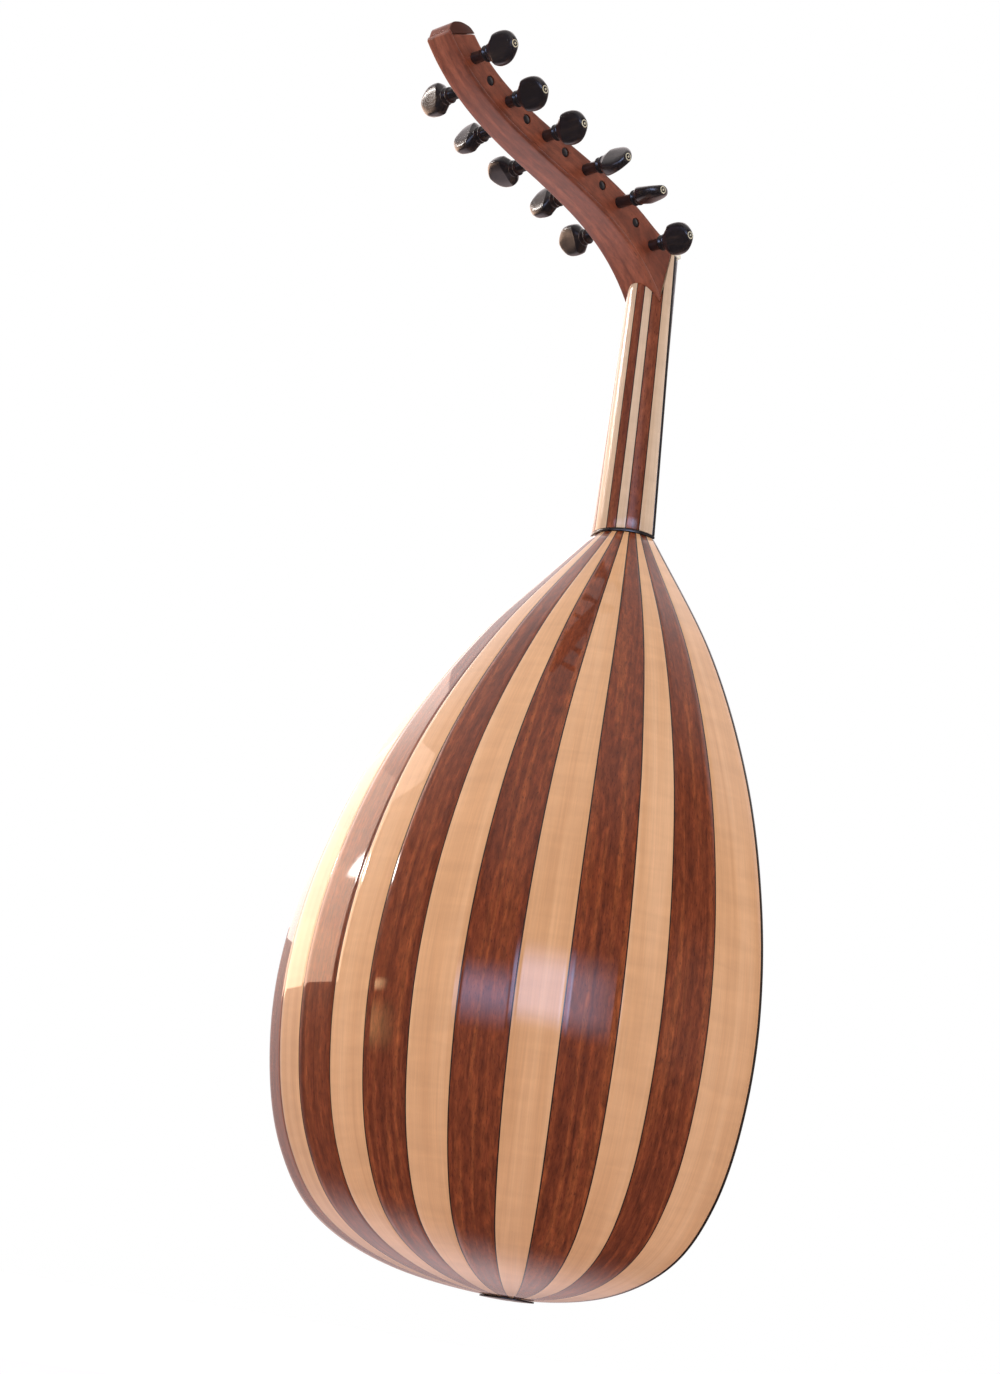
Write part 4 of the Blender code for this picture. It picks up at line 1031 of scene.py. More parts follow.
@dataclass
class Neck:
    """The striped neck with its band, fingerboard and nut."""

    finishes: Finishes
    line: PegboxLine
    low: float = 490 * MM
    length: float = 206.9 * MM
    joint_width: float = 47.3 * MM
    nut_width: float = 28.6 * MM
    joint_depth: float = 22.1 * MM
    nut_depth: float = 20.2 * MM
    set_back: float = 9.0 * MM
    veneer: float = 1.2 * MM
    band: float = 2.0 * MM
    strips_low: tuple[float, ...] = (28.0, 22.5, 16.5, 17.0, 28.0, 22.0, 13.0, 17.0, 16.0)
    strips_high: tuple[float, ...] = (19.5, 23.0, 17.0, 19.0, 42.0, 20.0, 12.0, 15.0, 12.5)
    line_width: float = 0.6 * MM
    board_thickness: float = 2.4 * MM
    nut_thickness: float = 4.5 * MM
    nut_height: float = 4.0 * MM

    def share(self, z: np.ndarray) -> np.ndarray:
        """0 at the bowl, 1 at the nut's far side."""
        return (z - self.low) / self.length

    def half(self, z: np.ndarray) -> np.ndarray:
        """Half the neck's width."""
        return (self.joint_width + (self.nut_width - self.joint_width) * self.share(z)) / 2

    def front(self, z: np.ndarray) -> np.ndarray:
        """Where the neck's wood meets the fingerboard."""
        return self.set_back * self.share(z)

    def back(self, z: np.ndarray, angle: np.ndarray, inset: float = 0.0) -> np.ndarray:
        """Points of the round back, the angle running from the left edge to the right."""
        depth = self.joint_depth + (self.nut_depth - self.joint_depth) * self.share(z)
        x = -(self.half(z) - inset) * np.cos(angle)
        y = self.front(z) + (depth - inset) * np.sin(angle)
        return np.stack([x, y, z], -1)

    def build(self) -> None:
        """Make all pieces of the neck."""
        top = self.low + self.length
        bottom = self.low + 2 * GAP + self.band
        count = len(self.strips_low)
        seat = self.foot_seat()
        for number in range(count):
            light = number % 2 == 0
            piece = self.strip("neck_strip_%02d" % (number + 1), (number > 0, number < count - 1),
                               bottom, top, number)
            Bench.cut(piece, seat, keep=True)
            Bench.ease_edges(piece, 0.12 * MM)
            Bench.hand_over(piece, self.finishes.neck_maple if light else self.finishes.neck_mahogany,
                            stands_for=["neck_veneer"] if number == 4 else (), slot="neck_stripes")
        for number in range(1, count):
            piece = self.dark_line("neck_line_%02d" % number, number, bottom, top)
            Bench.cut(piece, seat, keep=True)
            Bench.hand_over(piece, self.finishes.purfling, slot="binding")
        bpy.data.objects.remove(seat)
        dress("neck_core", self.finishes.linden)
        self.plain("joint_band", self.finishes.ebony, 0.35 * MM, "ebony")
        self.plain("fingerboard", self.finishes.ebony, 0.45 * MM, "ebony")
        self.plain("nut", self.finishes.bone, 0.4 * MM, "bone")

    def plain(self, node: str, material: bpy.types.Material, width: float, slot: str) -> None:
        """A packed form with its edges eased."""
        piece = Bench.copy_of_node(node, node + "_eased")
        Bench.ease_edges(piece, width, 3)
        Bench.hand_over(piece, material, stands_for=[node], slot=slot)

    def edge(self, number: int, z: np.ndarray) -> np.ndarray:
        """The angle at which a strip starts, along the neck."""
        low, high = (math.radians(sum(row[:number])) for row in (self.strips_low, self.strips_high))
        return low + (high - low) * self.share(z)

    def strip(self, name: str, lines: tuple[bool, bool], bottom: float, top: float,
              number: int) -> bpy.types.Object:
        """One strip of the veneer, between two dark lines.

        Args:
            name: the piece's name.
            lines: whether a dark line runs beside each edge.
            bottom: its height at the bowl.
            top: its height at the nut.
            number: its count from the left.

        Returns:
            The strip.
        """
        mean = (self.joint_width + self.nut_width) / 4

        def angle(u: np.ndarray, z: np.ndarray) -> np.ndarray:
            trim = self.line_width / 2 / (self.half(z) * 0.5 + mean * 0.5)
            a = self.edge(number, z) + (trim if lines[0] else 0)
            b = self.edge(number + 1, z) - (trim if lines[1] else 0)
            return a + (b - a) * u

        def place(u: np.ndarray, v: np.ndarray) -> np.ndarray:
            z = bottom + (top - bottom) * v
            return self.back(z, angle(u, z))

        def grain(u: np.ndarray, v: np.ndarray) -> np.ndarray:
            z = bottom + (top - bottom) * v
            return np.stack([z + number * 0.73, angle(u, z) * mean + number * 0.057], 1)

        piece = Bench.sheet(name, 6, 24, place, grain, away=(0, 0.0, 0.59))
        Bench.modify(piece, "SOLIDIFY", thickness=self.veneer, offset=-1)
        return piece

    def dark_line(self, name: str, number: int, bottom: float, top: float) -> bpy.types.Object:
        """A dark line between two strips."""

        def place(u: np.ndarray, v: np.ndarray) -> np.ndarray:
            z = bottom + (top - bottom) * v
            shift = (u - 0.5) * self.line_width / self.half(z)
            return self.back(z, self.edge(number, z) + shift, 0.02 * MM)

        piece = Bench.sheet(name, 2, 24, place, away=(0, 0.0, 0.59))
        Bench.modify(piece, "SOLIDIFY", thickness=0.9 * MM, offset=-1)
        return piece

    def foot_seat(self) -> bpy.types.Object:
        """What the pegbox's foot takes out of the neck's end."""
        line = self.line
        floor = Pegbox.back + GAP
        along = unit(np.array(line.joint_top) - np.array(line.start))
        corner = line.on_joint(-floor) - np.array([along[1], -along[0]]) * GAP
        runs = np.linspace(0.02, 0.16, 8) * line.length
        under = line.at(runs, np.full(8, -floor))
        reach = 80 * MM
        outline = [corner, corner + along * reach, under[-1] + np.array([0, reach]), *under[::-1]]
        return Bench.prism("foot_seat", [(-0.05, y, z) for y, z in outline], (0.1, 0, 0))


@dataclass
class Pegbox:
    """The swept-back box: back plate, walls, foot and end block."""

    finishes: Finishes
    line: PegboxLine
    wall: float = 3.6 * MM
    back: float = 2.6 * MM
    overhang: float = 0.8 * MM
    edge_round: float = 1.0 * MM
    end_lean: float = 1.7 * MM
    tip: tuple[tuple[float, float], ...] = ((1.7, 0.0), (4.6, 4.7), (3.9, 9.2), (1.7, 13.5),
                                            (-3.2, 17.9), (-9.1, 19.4))
    tongue: tuple[float, float, float] = (14 * MM, 17 * MM, 2 * MM)

    def build(self) -> None:
        """Make all pieces of the pegbox."""
        holes = self.holes()
        for side, sign in (("left", -1), ("right", 1)):
            piece = self.cheek("pegbox_cheek_" + side, sign)
            Bench.ease_edges(piece, 0.7 * MM, 3, 50)
            for hole in holes:
                Bench.cut(piece, hole, keep=True)
            Bench.hand_over(piece, self.finishes.pegbox, stands_for=["pegbox_wall_" + side],
                            slot="pegbox_wood", smooth=40)
        for hole in holes:
            bpy.data.objects.remove(hole)
        self.back_plate()
        self.tip_block()
        dress("pegbox_foot", self.finishes.pegbox_solid)

    def holes(self) -> list[bpy.types.Object]:
        """Tapered cutters for the peg holes."""
        made = []
        low, high = PegSet.radii()
        for index in range(PegSet.count):
            y, z = self.line.peg(index)
            reach = float(self.line.half_width(np.array([[y, z]]))[0]) + 2 * MM
            side = PegSet.side(index)
            made.append(Bench.rod("hole_%02d" % index, (-side * reach, y, z), (side * reach, y, z),
                                  low + 0.15 * MM, high + 0.15 * MM))
        return made

    def cheek(self, name: str, sign: int) -> bpy.types.Object:
        """A side wall.

        Args:
            name: the piece's name.
            sign: -1 for the left wall, 1 for the right wall.

        Returns:
            The solid piece.
        """
        rows = 120
        line = self.line
        top = line.wall_heights[2]
        runs = np.linspace(0.0, line.length + line.wall_end(GAP), 161)
        floor = line.at(runs, np.full(161, GAP))
        floor[0] = line.on_joint(GAP)
        rim_runs = np.linspace(line.joint_place[0], line.length + line.wall_end(top), 141)
        rim = line.at(rim_runs, line.wall_height(rim_runs))
        shares = np.linspace(0.0, 1.0, rows + 1)
        low = spaced(floor, shares)
        high = spaced(rim, shares)
        ring = [(0.0, t) for t in np.linspace(0, 1, 9)] + [(0.5, 1.0)] + \
               [(1.0, t) for t in np.linspace(1, 0, 9)] + [(0.5, 0.0), (0.0, 0.0)]
        around = np.array(ring)

        def place(u: np.ndarray, v: np.ndarray) -> np.ndarray:
            column = np.rint(u * (len(around) - 1)).astype(int)
            row = np.rint(v * rows).astype(int)
            depth, rise = around[column, 0], around[column, 1]
            yz = low[row] + (high[row] - low[row]) * rise[:, None]
            x = sign * (line.half_width(yz) - depth * self.wall)
            return np.stack([x, yz[:, 0], yz[:, 1]], 1)

        def grain(u: np.ndarray, v: np.ndarray) -> np.ndarray:
            column = np.rint(u * (len(around) - 1)).astype(int)
            rise = around[column, 1] * 22 * MM + around[column, 0] * self.wall
            return np.stack([v * line.length + sign * 0.9, rise + 0.31 * (sign + 2)], 1)

        return Bench.sheet(name, len(around) - 1, rows, place, grain, closed=True)

    def tip_block(self) -> None:
        """The solid end with its dome, and the tongue that it holds between the walls."""
        line = self.line
        tip = np.array(self.tip) * MM
        dome = rounded(line.at(line.length + tip[:, 0], tip[:, 1] + GAP), 5)
        low = line.at(line.length + line.wall_end(GAP) + GAP, GAP)
        loop = np.vstack([low, dome, low])
        rows = 10

        def place(u: np.ndarray, v: np.ndarray) -> np.ndarray:
            yz = loop[np.rint(u * (len(loop) - 1)).astype(int)]
            return np.stack([line.half_width(yz) * (2 * v - 1), yz[:, 0], yz[:, 1]], 1)

        def grain(u: np.ndarray, v: np.ndarray) -> np.ndarray:
            return np.stack([u * 50 * MM + 7.7, v * 18 * MM], 1)

        block = Bench.sheet("pegbox_tip_block", len(loop) - 1, rows, place, grain, closed=True)
        length, height, overlap = self.tongue
        corners = [line.at(line.length - length, 2 * GAP)]
        for level in (2 * GAP, height):
            corners.append(line.at(line.length + line.wall_end(level) + overlap, level))
        corners.append(line.at(line.length - length, height))
        inner = float(line.floor_half(corners[1][0])) - self.wall - GAP
        tongue = Bench.prism("tongue", [(-inner, y, z) for y, z in corners], (2 * inner, 0, 0))
        Bench.cut(block, tongue, way="UNION")
        Bench.ease_edges(block, 0.9 * MM, 3, 50)
        Bench.hand_over(block, self.finishes.pegbox_end, stands_for=["pegbox_end_block"],
                        slot="pegbox_wood")

    def back_plate(self) -> None:
        """The long curved plate that the eye sees, with softly rounded edges."""
        rows = 120
        line = self.line
        runs = np.linspace(0.0, line.length, rows + 1)
        r = self.edge_round
        t = self.back
        arc = [(math.sin(a), math.cos(a)) for a in np.linspace(0, math.pi / 2, 5)]
        right = [(0.0, -t + r), *[(-r + r * c, -t + r - r * s) for s, c in arc[1:]]]
        section: list[tuple[float, float, float]] = []
        section += [(side, 0.0, 0.0) for side in np.linspace(-1, 1, 9)]
        section += [(1.0, dx, h) for dx, h in right]
        section += [(side, side * -r, -t) for side in np.linspace(1, -1, 9)[1:-1]]
        section += [(-1.0, -dx, h) for dx, h in reversed(right)]
        section += [section[0]]
        around = np.array(section)

        def place(u: np.ndarray, v: np.ndarray) -> np.ndarray:
            column = np.rint(u * (len(around) - 1)).astype(int)
            run = runs[np.rint(v * rows).astype(int)]
            lean = np.where(run == line.length, self.end_lean * (1 + around[column, 2] / t), 0.0)
            yz = line.at(run + lean, around[column, 2])
            start = run == 0
            if start.any():
                yz[start] = np.array([line.on_joint(h) for h in around[column[start], 2]])
            half = line.floor_half(line.at(run, np.zeros(len(run)))[:, 0]) + self.overhang
            return np.stack([around[column, 0] * half + around[column, 1], yz[:, 0], yz[:, 1]], 1)

        def grain(u: np.ndarray, v: np.ndarray) -> np.ndarray:
            column = np.rint(u * (len(around) - 1)).astype(int)
            across = around[column, 0] * 14 * MM + around[column, 2] + 0.4
            return np.stack([v * line.length + 5.1, across], 1)

        piece = Bench.sheet("pegbox_spine", len(around) - 1, rows, place, grain, closed=True)
        Bench.ease_edges(piece, 0.4 * MM, 3, 50)
        Bench.hand_over(piece, self.finishes.pegbox, stands_for=["pegbox_back"], slot="pegbox_wood",
                        smooth=50)


class PchipLine:
    """A smooth line through points that never swings past them."""

    def __init__(self, x: np.ndarray, y: np.ndarray) -> None:
        """Work out the slopes at the points."""
        self.x = np.asarray(x)
        self.y = np.asarray(y)
        steps = np.diff(self.x)
        rise = np.diff(self.y) / steps
        self.slope = np.concatenate([rise[:1], np.zeros(len(steps) - 1), rise[-1:]])
        for i in range(1, len(steps)):
            if rise[i - 1] * rise[i] > 0:
                a = 2 * steps[i] + steps[i - 1]
                b = steps[i] + 2 * steps[i - 1]
                self.slope[i] = (a + b) / (a / rise[i - 1] + b / rise[i])

    def at(self, place: np.ndarray) -> np.ndarray:
        """Values of the line."""
        i = np.clip(np.searchsorted(self.x, place, side="right") - 1, 0, len(self.x) - 2)
        step = self.x[i + 1] - self.x[i]
        u = (place - self.x[i]) / step
        return (self.y[i] * (1 + 2 * u) * (1 - u) ** 2 + self.y[i + 1] * u * u * (3 - 2 * u)
                + step * (self.slope[i] * u * (1 - u) ** 2 - self.slope[i + 1] * u * u * (1 - u)))


class PegSet:
    """The turning pegs, each with its shaft, collar, scooped head and bone dot."""

    count = 11
    shaft_at_tip = 3.1 * MM
    shaft_at_head = 3.8 * MM
    head = 20.5 * MM
    reaches = (46.7, 55.4, 50.3, 52.2, 48.5, 56.6, 44.3, 53.8, 41.9, 51.2, 45.0)
    turns = (68, 58, 158, 97, 115, 30, 68, 101, 60, 78, 74)
    shoulder = ((0.015, 5.6, 5.1, 2.0), (0.06, 7.0, 5.2, 2.1), (0.11, 8.3, 5.3, 2.3),
                (0.165, 9.3, 5.4, 2.6), (0.20, 9.8, 5.45, 3.0), (0.215, 9.95, 5.45, 3.4))
    blade = ((0.215, 9.95, 5.45, 3.4), (0.235, 10.1, 5.35, 3.6), (0.32, 10.5, 5.1, 3.6),
             (0.44, 10.7, 4.75, 3.5), (0.58, 10.5, 4.35, 3.4), (0.70, 9.9, 4.05, 3.2),
             (0.80, 8.9, 3.8, 2.9), (0.88, 7.5, 3.6, 2.6), (0.94, 6.0, 3.45, 2.3),
             (0.98, 4.6, 3.2, 2.1), (1.0, 3.4, 2.95, 2.0))

    def __init__(self, finishes: Finishes, line: PegboxLine) -> None:
        """Keep the finishes and the line that the pegs stand on."""
        self.finishes = finishes
        self.line = line
        share, *rest = np.array(self.blade).T
        fine = np.unique(np.concatenate([share, np.linspace(share[0], 1.0, 25)]))
        smooth = [PchipLine(share, column).at(fine) for column in rest]
        self.head_rows = [*self.shoulder, *zip(fine[1:], *(column[1:] for column in smooth))]

    @staticmethod
    def side(index: int) -> int:
        """-1 where the head is on the left, and 1 on the right."""
        return 1 if index % 2 else -1

    @classmethod
    def radii(cls) -> tuple[float, float]:
        """The shaft's radius at its tip and at its head."""
        return cls.shaft_at_tip, cls.shaft_at_head

    def build(self) -> None:
        """Make every peg."""
        for index in range(self.count):
            self.peg(index)

    def stations(self, reach: float, end: float) -> np.ndarray:
        """Rows of distance, half width and half thickness, with how square the section is."""
        low, high = self.radii()
        neck = end - self.head
        rows = [(-reach + 0.3 * MM, low - 0.35 * MM, 2.0), (-reach + 0.6 * MM, low, 2.0),
                (0.0, (low + high) / 2, 2.0), (reach, high, 2.0), (neck - 4.9 * MM, high, 2.0),
                (neck - 4.7 * MM, high + 0.2 * MM, 2.0), (neck - 4.5 * MM, 5.1 * MM, 2.0),
                (neck - 4.2 * MM, 5.3 * MM, 2.0), (neck - 3.7 * MM, 5.3 * MM, 2.0),
                (neck - 3.4 * MM, 5.1 * MM, 2.0), (neck - 2.6 * MM, 4.0 * MM, 2.0),
                (neck - 2.2 * MM, 3.85 * MM, 2.0), (neck - 1.8 * MM, 4.0 * MM, 2.0),
                (neck - 1.0 * MM, 5.3 * MM, 2.0), (neck - 0.8 * MM, 5.55 * MM, 2.0),
                (neck - 0.2 * MM, 5.6 * MM, 2.0), (neck, 5.5 * MM, 2.0)]
        table = [(x, r, r, p) for x, r, p in rows]
        for share, width, thick, power in self.head_rows:
            table.append((neck + self.head * share, width * MM, thick * MM, power))
        return np.array(table)

    def peg(self, index: int) -> None:
        """One peg with its dot and ring."""
        y, z = self.line.peg(index)
        sign = self.side(index)
        reach = float(self.line.half_width(np.array([[y, z]]))[0])
        end = self.reaches[index] * MM
        table = self.stations(reach, end)
        rows = len(table) - 1
        turn = math.radians(self.turns[index])
        body = "peg_%02d_body" % (index + 1)

        def place(u: np.ndarray, v: np.ndarray) -> np.ndarray:
            x, width, thick, power = table[np.rint(v * rows).astype(int)].T
            angle = 2 * math.pi * u
            c, s = np.cos(angle), np.sin(angle)
            out = (np.abs(c) ** power + np.abs(s) ** power) ** (-1 / power)
            a, b = width * c * out, thick * s * out
            return np.stack([sign * x, y + a * math.cos(turn) - b * math.sin(turn),
                             z + a * math.sin(turn) + b * math.cos(turn)], 1)

        piece = Bench.sheet("peg_turned_%02d" % (index + 1), 40, rows, place, closed=True)
        Bench.hand_over(piece, self.finishes.peg_ebony, body, ["peg_%02d" % (index + 1)], "ebony", 50)
        end *= sign
        for kind, low, high, out, material, slot in (
                ("ring", 2.7, 2.5, 0.16, self.finishes.peg_ring, "bone"),
                ("eye", 1.95, 1.9, 0.22, self.finishes.ebony, "ebony"),
                ("dot", 0.85, 0.75, 0.30, self.finishes.peg_ring, "bone")):
            name = "peg_%s_%02d" % (kind, index + 1)
            inlay = Bench.rod(name, (end - sign * 0.5 * MM, y, z), (end + sign * out * MM, y, z),
                              low * MM, high * MM, 32)
            Bench.ease_edges(inlay, 0.12 * MM, 2)
            Bench.hand_over(inlay, material, body, slot=slot)


@dataclass
class Soundboard:
    """The front: board, edge line, rosettes, bridge and plectrum guard."""

    finishes: Finishes
    mould: Mould = field(default_factory=Mould)
    thickness: float = 2.0 * MM
    edge_width: float = 1.6 * MM
    main_hole: tuple[float, float, float] = (0.0, 318 * MM, 42 * MM)
    side_hole: tuple[float, float, float] = (68 * MM, 232 * MM, 16 * MM)
    rosette_thickness: float = 1.6 * MM

    @property
    def front(self) -> float:
        """The board's front face."""
        return -GAP - self.thickness

    def outline(self, inset: float, share: np.ndarray) -> np.ndarray:
        """Half the outline in x and z, pulled in from the bowl's edge."""
        start = self.mould.turn_at_width(inset * 2) if inset else 0.0
        points = self.mould.inset(start + (1 - start) * share, 0.0, inset)
        return np.stack([-points[:, 0], np.minimum(points[:, 2], self.mould.length - GAP)], 1)

    def build(self) -> None:
        """Make all pieces of the front."""
        self.edge_line()
        self.board()
        x, z, r = self.main_hole
        self.rosette("rosette_main", x, z, r, 12)
        x, z, r = self.side_hole
        self.rosette("rosette_left", -x, z, r, 8)
        self.rosette("rosette_right", x, z, r, 8)
        self.eased("bridge", self.finishes.ebony, 0.6 * MM, "ebony")
        self.eased("plectrum_guard", self.finishes.ebony, 0.25 * MM, "ebony")

    def eased(self, node: str, material: bpy.types.Material, width: float, slot: str) -> None:
        """A packed form with its edges eased."""
        piece = Bench.copy_of_node(node, node + "_eased")
        Bench.ease_edges(piece, width, 3)
        Bench.hand_over(piece, material, stands_for=[node], slot=slot)

    def board(self) -> None:
        """The spruce board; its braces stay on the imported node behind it."""
        dress("soundboard", self.finishes.spruce)

    def edge_line(self) -> None:
        """The dark line round the board."""
        rows = 240
        share = np.abs(np.linspace(-1, 1, rows + 1))
        sign = np.where(np.linspace(-1, 1, rows + 1) < 0, -1.0, 1.0)
        outer = self.outline(0.0, share)
        inner = self.outline(self.edge_width, share)
        around = np.array([(0, 0), (0, 1), (1, 1), (1, 0), (0, 0)], float)

        def place(u: np.ndarray, v: np.ndarray) -> np.ndarray:
            column = np.rint(u * 4).astype(int)
            row = np.rint(v * rows).astype(int)
            depth, rise = around[column].T
            xz = outer[row] + (inner[row] - outer[row]) * depth[:, None]
            return np.stack([xz[:, 0] * sign[row], self.front + self.thickness * rise, xz[:, 1]], 1)

        piece = Bench.sheet("edge_strip", 4, rows, place, closed=True)
        Bench.ease_edges(piece, 0.25 * MM, 2, 50)
        Bench.hand_over(piece, self.finishes.purfling, stands_for=["edge_binding"], slot="binding")

    def rosette(self, name: str, x: float, z: float, radius: float, points: int) -> None:
        """A rim and a pierced geometric star.

        Args:
            name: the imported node's name.
            x: the centre's place across.
            z: the centre's place along.
            radius: the hole's radius.
            points: how many rays the star has.
        """
        rim = radius - GAP
        front = self.front
        back = front + self.rosette_thickness
        disc = Bench.rod(name + "_fret", (x, front, z), (x, back, z), rim, rim, 96)
        cutters = []

        def petal(at: float, reach: float, half: float, angle: float) -> None:
            steps = np.linspace(0, 2 * math.pi, 13)[:-1]
            along = at + reach * np.cos(steps)
            side = half * np.sin(steps) * (1 + 0.35 * np.cos(steps))
            px = x + along * math.cos(angle) - side * math.sin(angle)
            pz = z + along * math.sin(angle) + side * math.cos(angle)
            outline = [(a, front - MM, b) for a, b in zip(px, pz)]
            cutters.append(Bench.prism("petal", outline, (0, self.rosette_thickness + 2 * MM, 0)))

        for k in range(points):
            angle = 2 * math.pi * k / points
            shift = angle + math.pi / points
            petal(rim * 0.36, rim * 0.15, rim * 0.30 / points * 2.0, angle)
            petal(rim * 0.60, rim * 0.13, rim * 0.9 / points, shift)
            petal(rim * 0.80, rim * 0.11, rim * 1.35 / points, angle)
        petal(0.0, rim * 0.12, rim * 0.12, 0.0)
        Bench.cut(disc, Bench.joined("petals", cutters))
        Bench.ease_edges(disc, 0.12 * MM, 2, 50)
        Bench.hand_over(disc, self.finishes.rosette, stands_for=[name], slot="rosette_wood")


class Strings:
    """Eleven strings on their packed places."""

    def __init__(self, finishes: Finishes) -> None:
        """Keep the finishes."""
        self.finishes = finishes

    def build(self) -> None:
        """Dress every string; the lower ones are wound with wire."""
        for number in range(1, 12):
            dress("string_%02d" % number, self.finishes.wound if number <= 5 else self.finishes.nylon)


@dataclass(frozen=True)
class Glow:
    """A soft-edged bright patch of the surround that polished wood mirrors.

    The way points from the lute to the patch; the sizes are half widths and half heights as
    shares of the distance.
    """

    way: tuple[float, float]
    size: tuple[float, float]
    soft: float
    colour: Colour
    strength: float


class Surround:
    """The studio round the lute: even soft light, and a darker room in the mirrored light."""

    glows = (
        Glow((133, 8), (0.27, 0.14), 0.07, (1.0, 1.25, 2.05), 3.2),
        Glow((150, 8), (0.16, 0.13), 0.08, (1.0, 1.15, 1.6), 2.0),
        Glow((99, 4), (0.24, 0.09), 0.09, (1.0, 1.2, 1.9), 2.2),
        Glow((27.3, 22), (0.086, 0.024), 0.014, (1.0, 0.98, 0.95), 40.0),
        Glow((54.5, 4), (0.014, 0.018), 0.014, (1.0, 0.66, 0.35), 8.0),
        Glow((54, -4), (0.025, 0.06), 0.05, (1.0, 0.60, 0.25), 4.0),
        Glow((60, 80), (1.1, 0.9), 0.5, (1.0, 0.95, 0.95), 0.45),
        Glow((-155, 10), (0.4, 0.22), 0.12, (1.0, 0.96, 0.94), 0.20),
        Glow((-60, 48), (1.2, 0.45), 0.3, (1.0, 0.98, 1.0), 0.7),
        Glow((-28, -42), (0.45, 0.30), 0.3, (1.0, 0.82, 0.86), 1.0),
    )

    def __init__(self) -> None:
        """Start the world's node tree."""
        self.world = bpy.data.worlds.new("studio")
        self.world.use_nodes = True
        self.tree = self.world.node_tree
        self.way = self.node("TexCoord").outputs["Generated"]

    def node(self, kind: str, inputs: dict | None = None, **settings: object) -> bpy.types.Node:
        """Add a node, set its properties, and set or link its inputs."""
        node = self.tree.nodes.new("ShaderNode" + kind)
        for key, value in settings.items():
            setattr(node, key, value)
        for key, value in (inputs or {}).items():
            if isinstance(value, bpy.types.NodeSocket):
                self.tree.links.new(value, node.inputs[key])
            else:
                node.inputs[key].default_value = value
        return node

    def dot(self, way: Vector) -> bpy.types.NodeSocket:
        """How far the looked-at way runs along another one."""
        return self.node("VectorMath", {0: self.way, 1: tuple(way)}, operation="DOT_PRODUCT").outputs["Value"]

    def maths(self, way: str, a: object, b: object = 0.0) -> bpy.types.NodeSocket:
        """One operation on numbers."""
        return self.node("Math", {0: a, 1: b}, operation=way).outputs[0]

    def smooth(self, value: object, low: float, high: float, first: float, last: float) -> bpy.types.NodeSocket:
        """A smooth step from one number to another."""
        return self.node("MapRange", {0: value, 1: low, 2: high, 3: first, 4: last},
                         interpolation_type="SMOOTHSTEP").outputs[0]

    def patch(self, glow: Glow) -> bpy.types.NodeSocket:
        """A number that is the glow's strength inside it and 0 away from it."""
        azimuth, height = (math.radians(angle) for angle in glow.way)
        ahead = Vector((math.cos(height) * math.cos(azimuth), math.cos(height) * math.sin(azimuth),
                        math.sin(height)))
        side = Vector((-math.sin(azimuth), math.cos(azimuth), 0))
        depth = self.maths("MAXIMUM", self.dot(ahead), 0.001)
        share = None
        for way, half in zip((side, ahead.cross(side)), glow.size):
            off = self.maths("ABSOLUTE", self.maths("DIVIDE", self.dot(way), depth))
            inside = self.smooth(off, half - glow.soft, half + glow.soft, 1.0, 0.0)
            share = inside if share is None else self.maths("MULTIPLY", share, inside)
        return self.maths("MULTIPLY", share, glow.strength)

    def build(self) -> None:
        """Join the even light, the mirrored room and the white seen by the camera."""
        room = self.smooth(self.dot(Vector((0.70, -0.66, 0.26))), 0.3, 1.0, 0.05, 0.55)
        mirrored = self.node("VectorMath", {0: (1.0, 0.74, 0.72), 3: room}, operation="SCALE").outputs[0]
        for glow in self.glows:
            strength = self.patch(glow)
            tint = self.node("VectorMath", {0: glow.colour, 3: strength}, operation="SCALE").outputs[0]
            mirrored = self.node("VectorMath", {0: mirrored, 1: tint}, operation="ADD").outputs[0]
        even = self.smooth(self.dot(Vector((0.1, 0.45, 0.88))), -1.0, 1.0, 0.62, 1.02)
        even = self.node("CombineColor", {0: even, 1: even, 2: even}).outputs[0]
        path = self.node("LightPath").outputs
        light = self.node("Mix", {0: path["Is Glossy Ray"], 6: even, 7: mirrored}, data_type="RGBA").outputs[2]
        light = self.node("Mix", {0: path["Is Camera Ray"], 6: light, 7: (1.0, 1.0, 1.0, 1.0)},
                          data_type="RGBA").outputs[2]
        self.tree.links.new(light, self.tree.nodes["Background"].inputs["Color"])
        bpy.context.scene.world = self.world
        bpy.context.scene.view_settings.view_transform = "Standard"


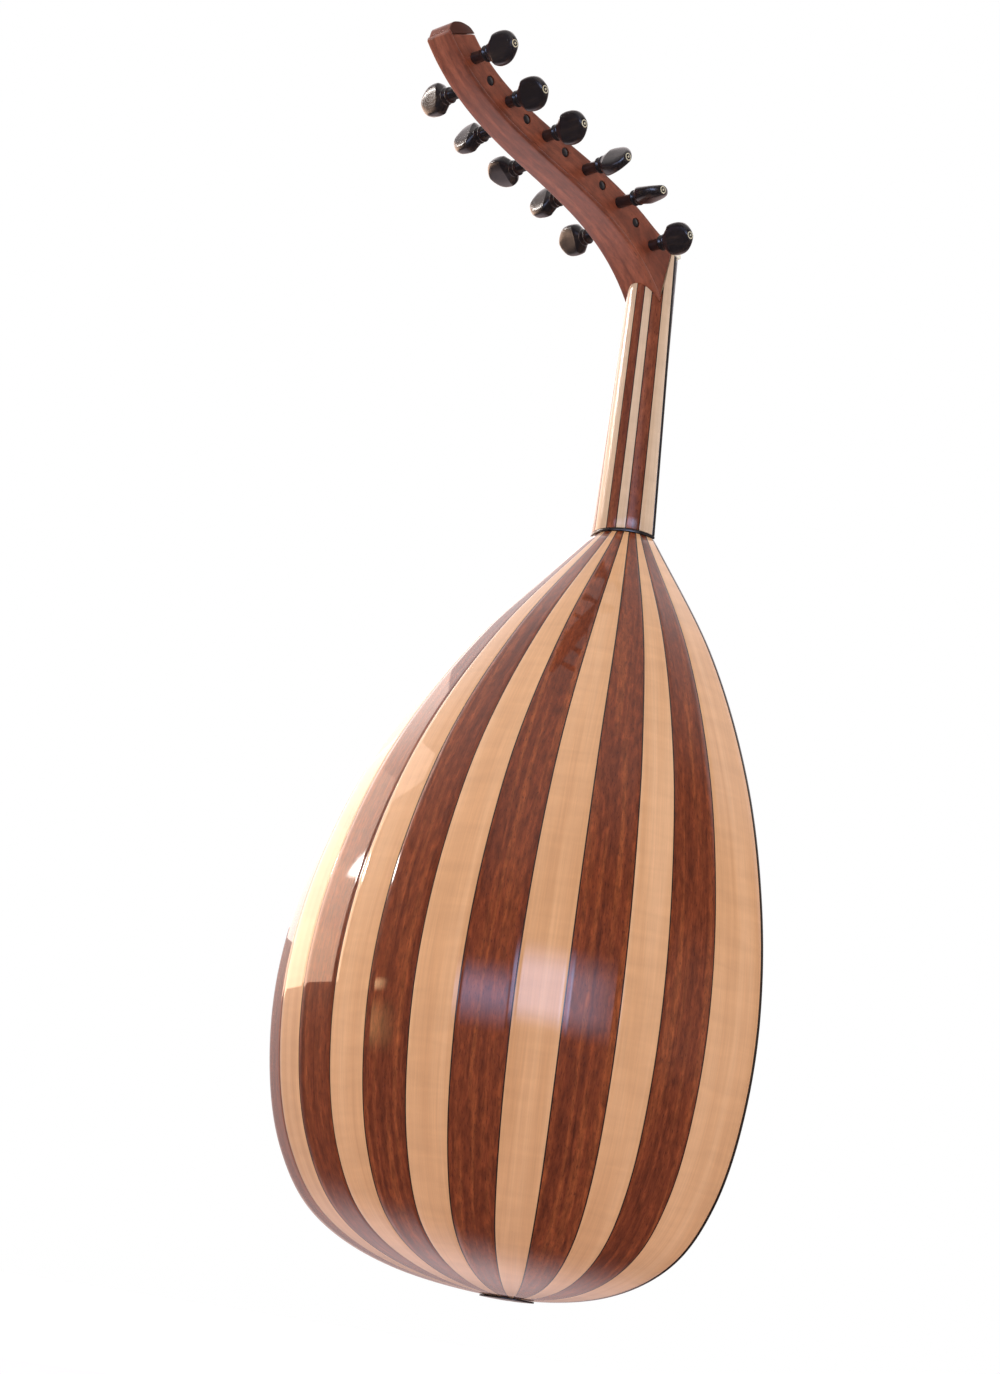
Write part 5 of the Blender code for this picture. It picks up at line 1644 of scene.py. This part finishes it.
@dataclass
class Studio:
    """Camera, light and ground."""

    finishes: Finishes
    place: tuple[float, float, float] = (-1.05131616, 1.08403464, -0.02871563)
    right: tuple[float, float, float] = (-0.7081023, -0.6890877, 0.1541081)
    down: tuple[float, float, float] = (0.0776735, -0.2929398, -0.9529707)
    forward: tuple[float, float, float] = (0.7018248, -0.6628306, 0.2609552)
    lens: float = 63.16
    ground: float = -0.12
    mirrored_wall: tuple[tuple[float, float, float, float, float, Colour], ...] = (
        (12, 1.4, 0.32, 0.62, 4.6, (1.0, 0.65, 0.45)), (12, 1.4, 0.62, 0.95, 3.8, (1.0, 0.68, 0.50)),
        (12, 1.4, 0.95, 1.35, 2.9, (1.0, 0.72, 0.56)), (12, 1.4, 1.35, 1.75, 2.0, (1.0, 0.74, 0.60)),
        (-28, 1.2, 0.50, 1.75, 1.6, (1.0, 0.86, 0.78)))

    def build(self) -> None:
        """Set up the studio."""
        self.camera()
        Surround().build()
        self.floor()
        centre = Vector((0, 0.05, 0.35))
        self.panel("left_softbox", centre + Vector((1.5, 0.9, 1.1)), centre, 1.6, 1.6, 9.0)
        self.panel("front_softbox", centre + Vector((-0.6, -2.2, 0.9)), centre, 1.4, 1.6, 12.0)
        for number, (turn, width, low, high, radiance, colour) in enumerate(self.mirrored_wall):
            aim = Vector((0.1, 0.05, (low + high) / 2))
            way = Vector((math.cos(math.radians(turn)), math.sin(math.radians(turn)), 0))
            self.mirrored("mirrored_wall_%d" % number, aim + way * 1.74, aim, width, high - low,
                          radiance, colour)

    def camera(self) -> None:
        """The camera at the photograph's place and angle."""
        data = bpy.data.cameras.new("view")
        data.lens = self.lens
        data.sensor_width = 36.0
        data.clip_start = 0.01
        data.clip_end = 100.0
        holder = bpy.data.objects.new("view", data)
        bpy.context.scene.collection.objects.link(holder)
        columns = (Vector(self.right), -Vector(self.down), -Vector(self.forward), Vector(self.place))
        matrix = Matrix.Identity(4)
        for k, column in enumerate(columns):
            for row in range(3):
                matrix[row][k] = column[row]
        holder.matrix_world = matrix
        bpy.context.scene.camera = holder

    def floor(self) -> None:
        """The pale ground."""
        Bench.clear()
        bpy.ops.mesh.primitive_circle_add(vertices=128, radius=40, fill_type="NGON",
                                          location=(0, 0, self.ground))
        piece = Bench.named("studio_ground")
        Bench.settle(piece)
        piece.data.materials.append(self.finishes.paper)
        piece.visible_glossy = False

    @staticmethod
    def panel(name: str, place: Vector, aim: Vector, width: float, height: float,
              power: float) -> bpy.types.Object:
        """A soft rectangular light.

        Args:
            name: the light's name.
            place: where it stands.
            aim: what it looks at.
            width: its width.
            height: its height.
            power: its power in watts.

        Returns:
            The light, which the polish doesn't mirror.
        """
        data = bpy.data.lights.new(name, "AREA")
        data.shape = "RECTANGLE"
        data.size = width
        data.size_y = height
        data.energy = power
        holder = bpy.data.objects.new(name, data)
        bpy.context.scene.collection.objects.link(holder)
        holder.location = place
        holder.rotation_euler = (aim - place).to_track_quat("-Z", "Y").to_euler()
        holder.visible_camera = False
        holder.visible_glossy = False
        return holder

    def mirrored(self, name: str, place: Vector, aim: Vector, width: float, height: float,
                 radiance: float, colour: Colour) -> None:
        """A bright sheet that shows only in the polish.

        Args:
            name: the sheet's name.
            place: where it stands.
            aim: what it faces.
            width: its width.
            height: its height.
            radiance: how bright it looks.
            colour: its tint.
        """
        sheet = self.panel(name, place, aim, width, height, radiance * math.pi * width * height)
        sheet.data.color = colour
        sheet.visible_diffuse = False
        sheet.visible_glossy = True


def main() -> None:
    """Build the lute's pieces in order, then the studio."""
    finishes = Finishes()
    line = PegboxLine()
    Bowl(finishes).build()
    Neck(finishes, line).build()
    Pegbox(finishes, line).build()
    PegSet(finishes, line).build()
    Soundboard(finishes).build()
    Strings(finishes).build()
    Studio(finishes).build()


if __name__ == "__main__":
    logging.basicConfig(level=logging.INFO, format="%(message)s")
    main()
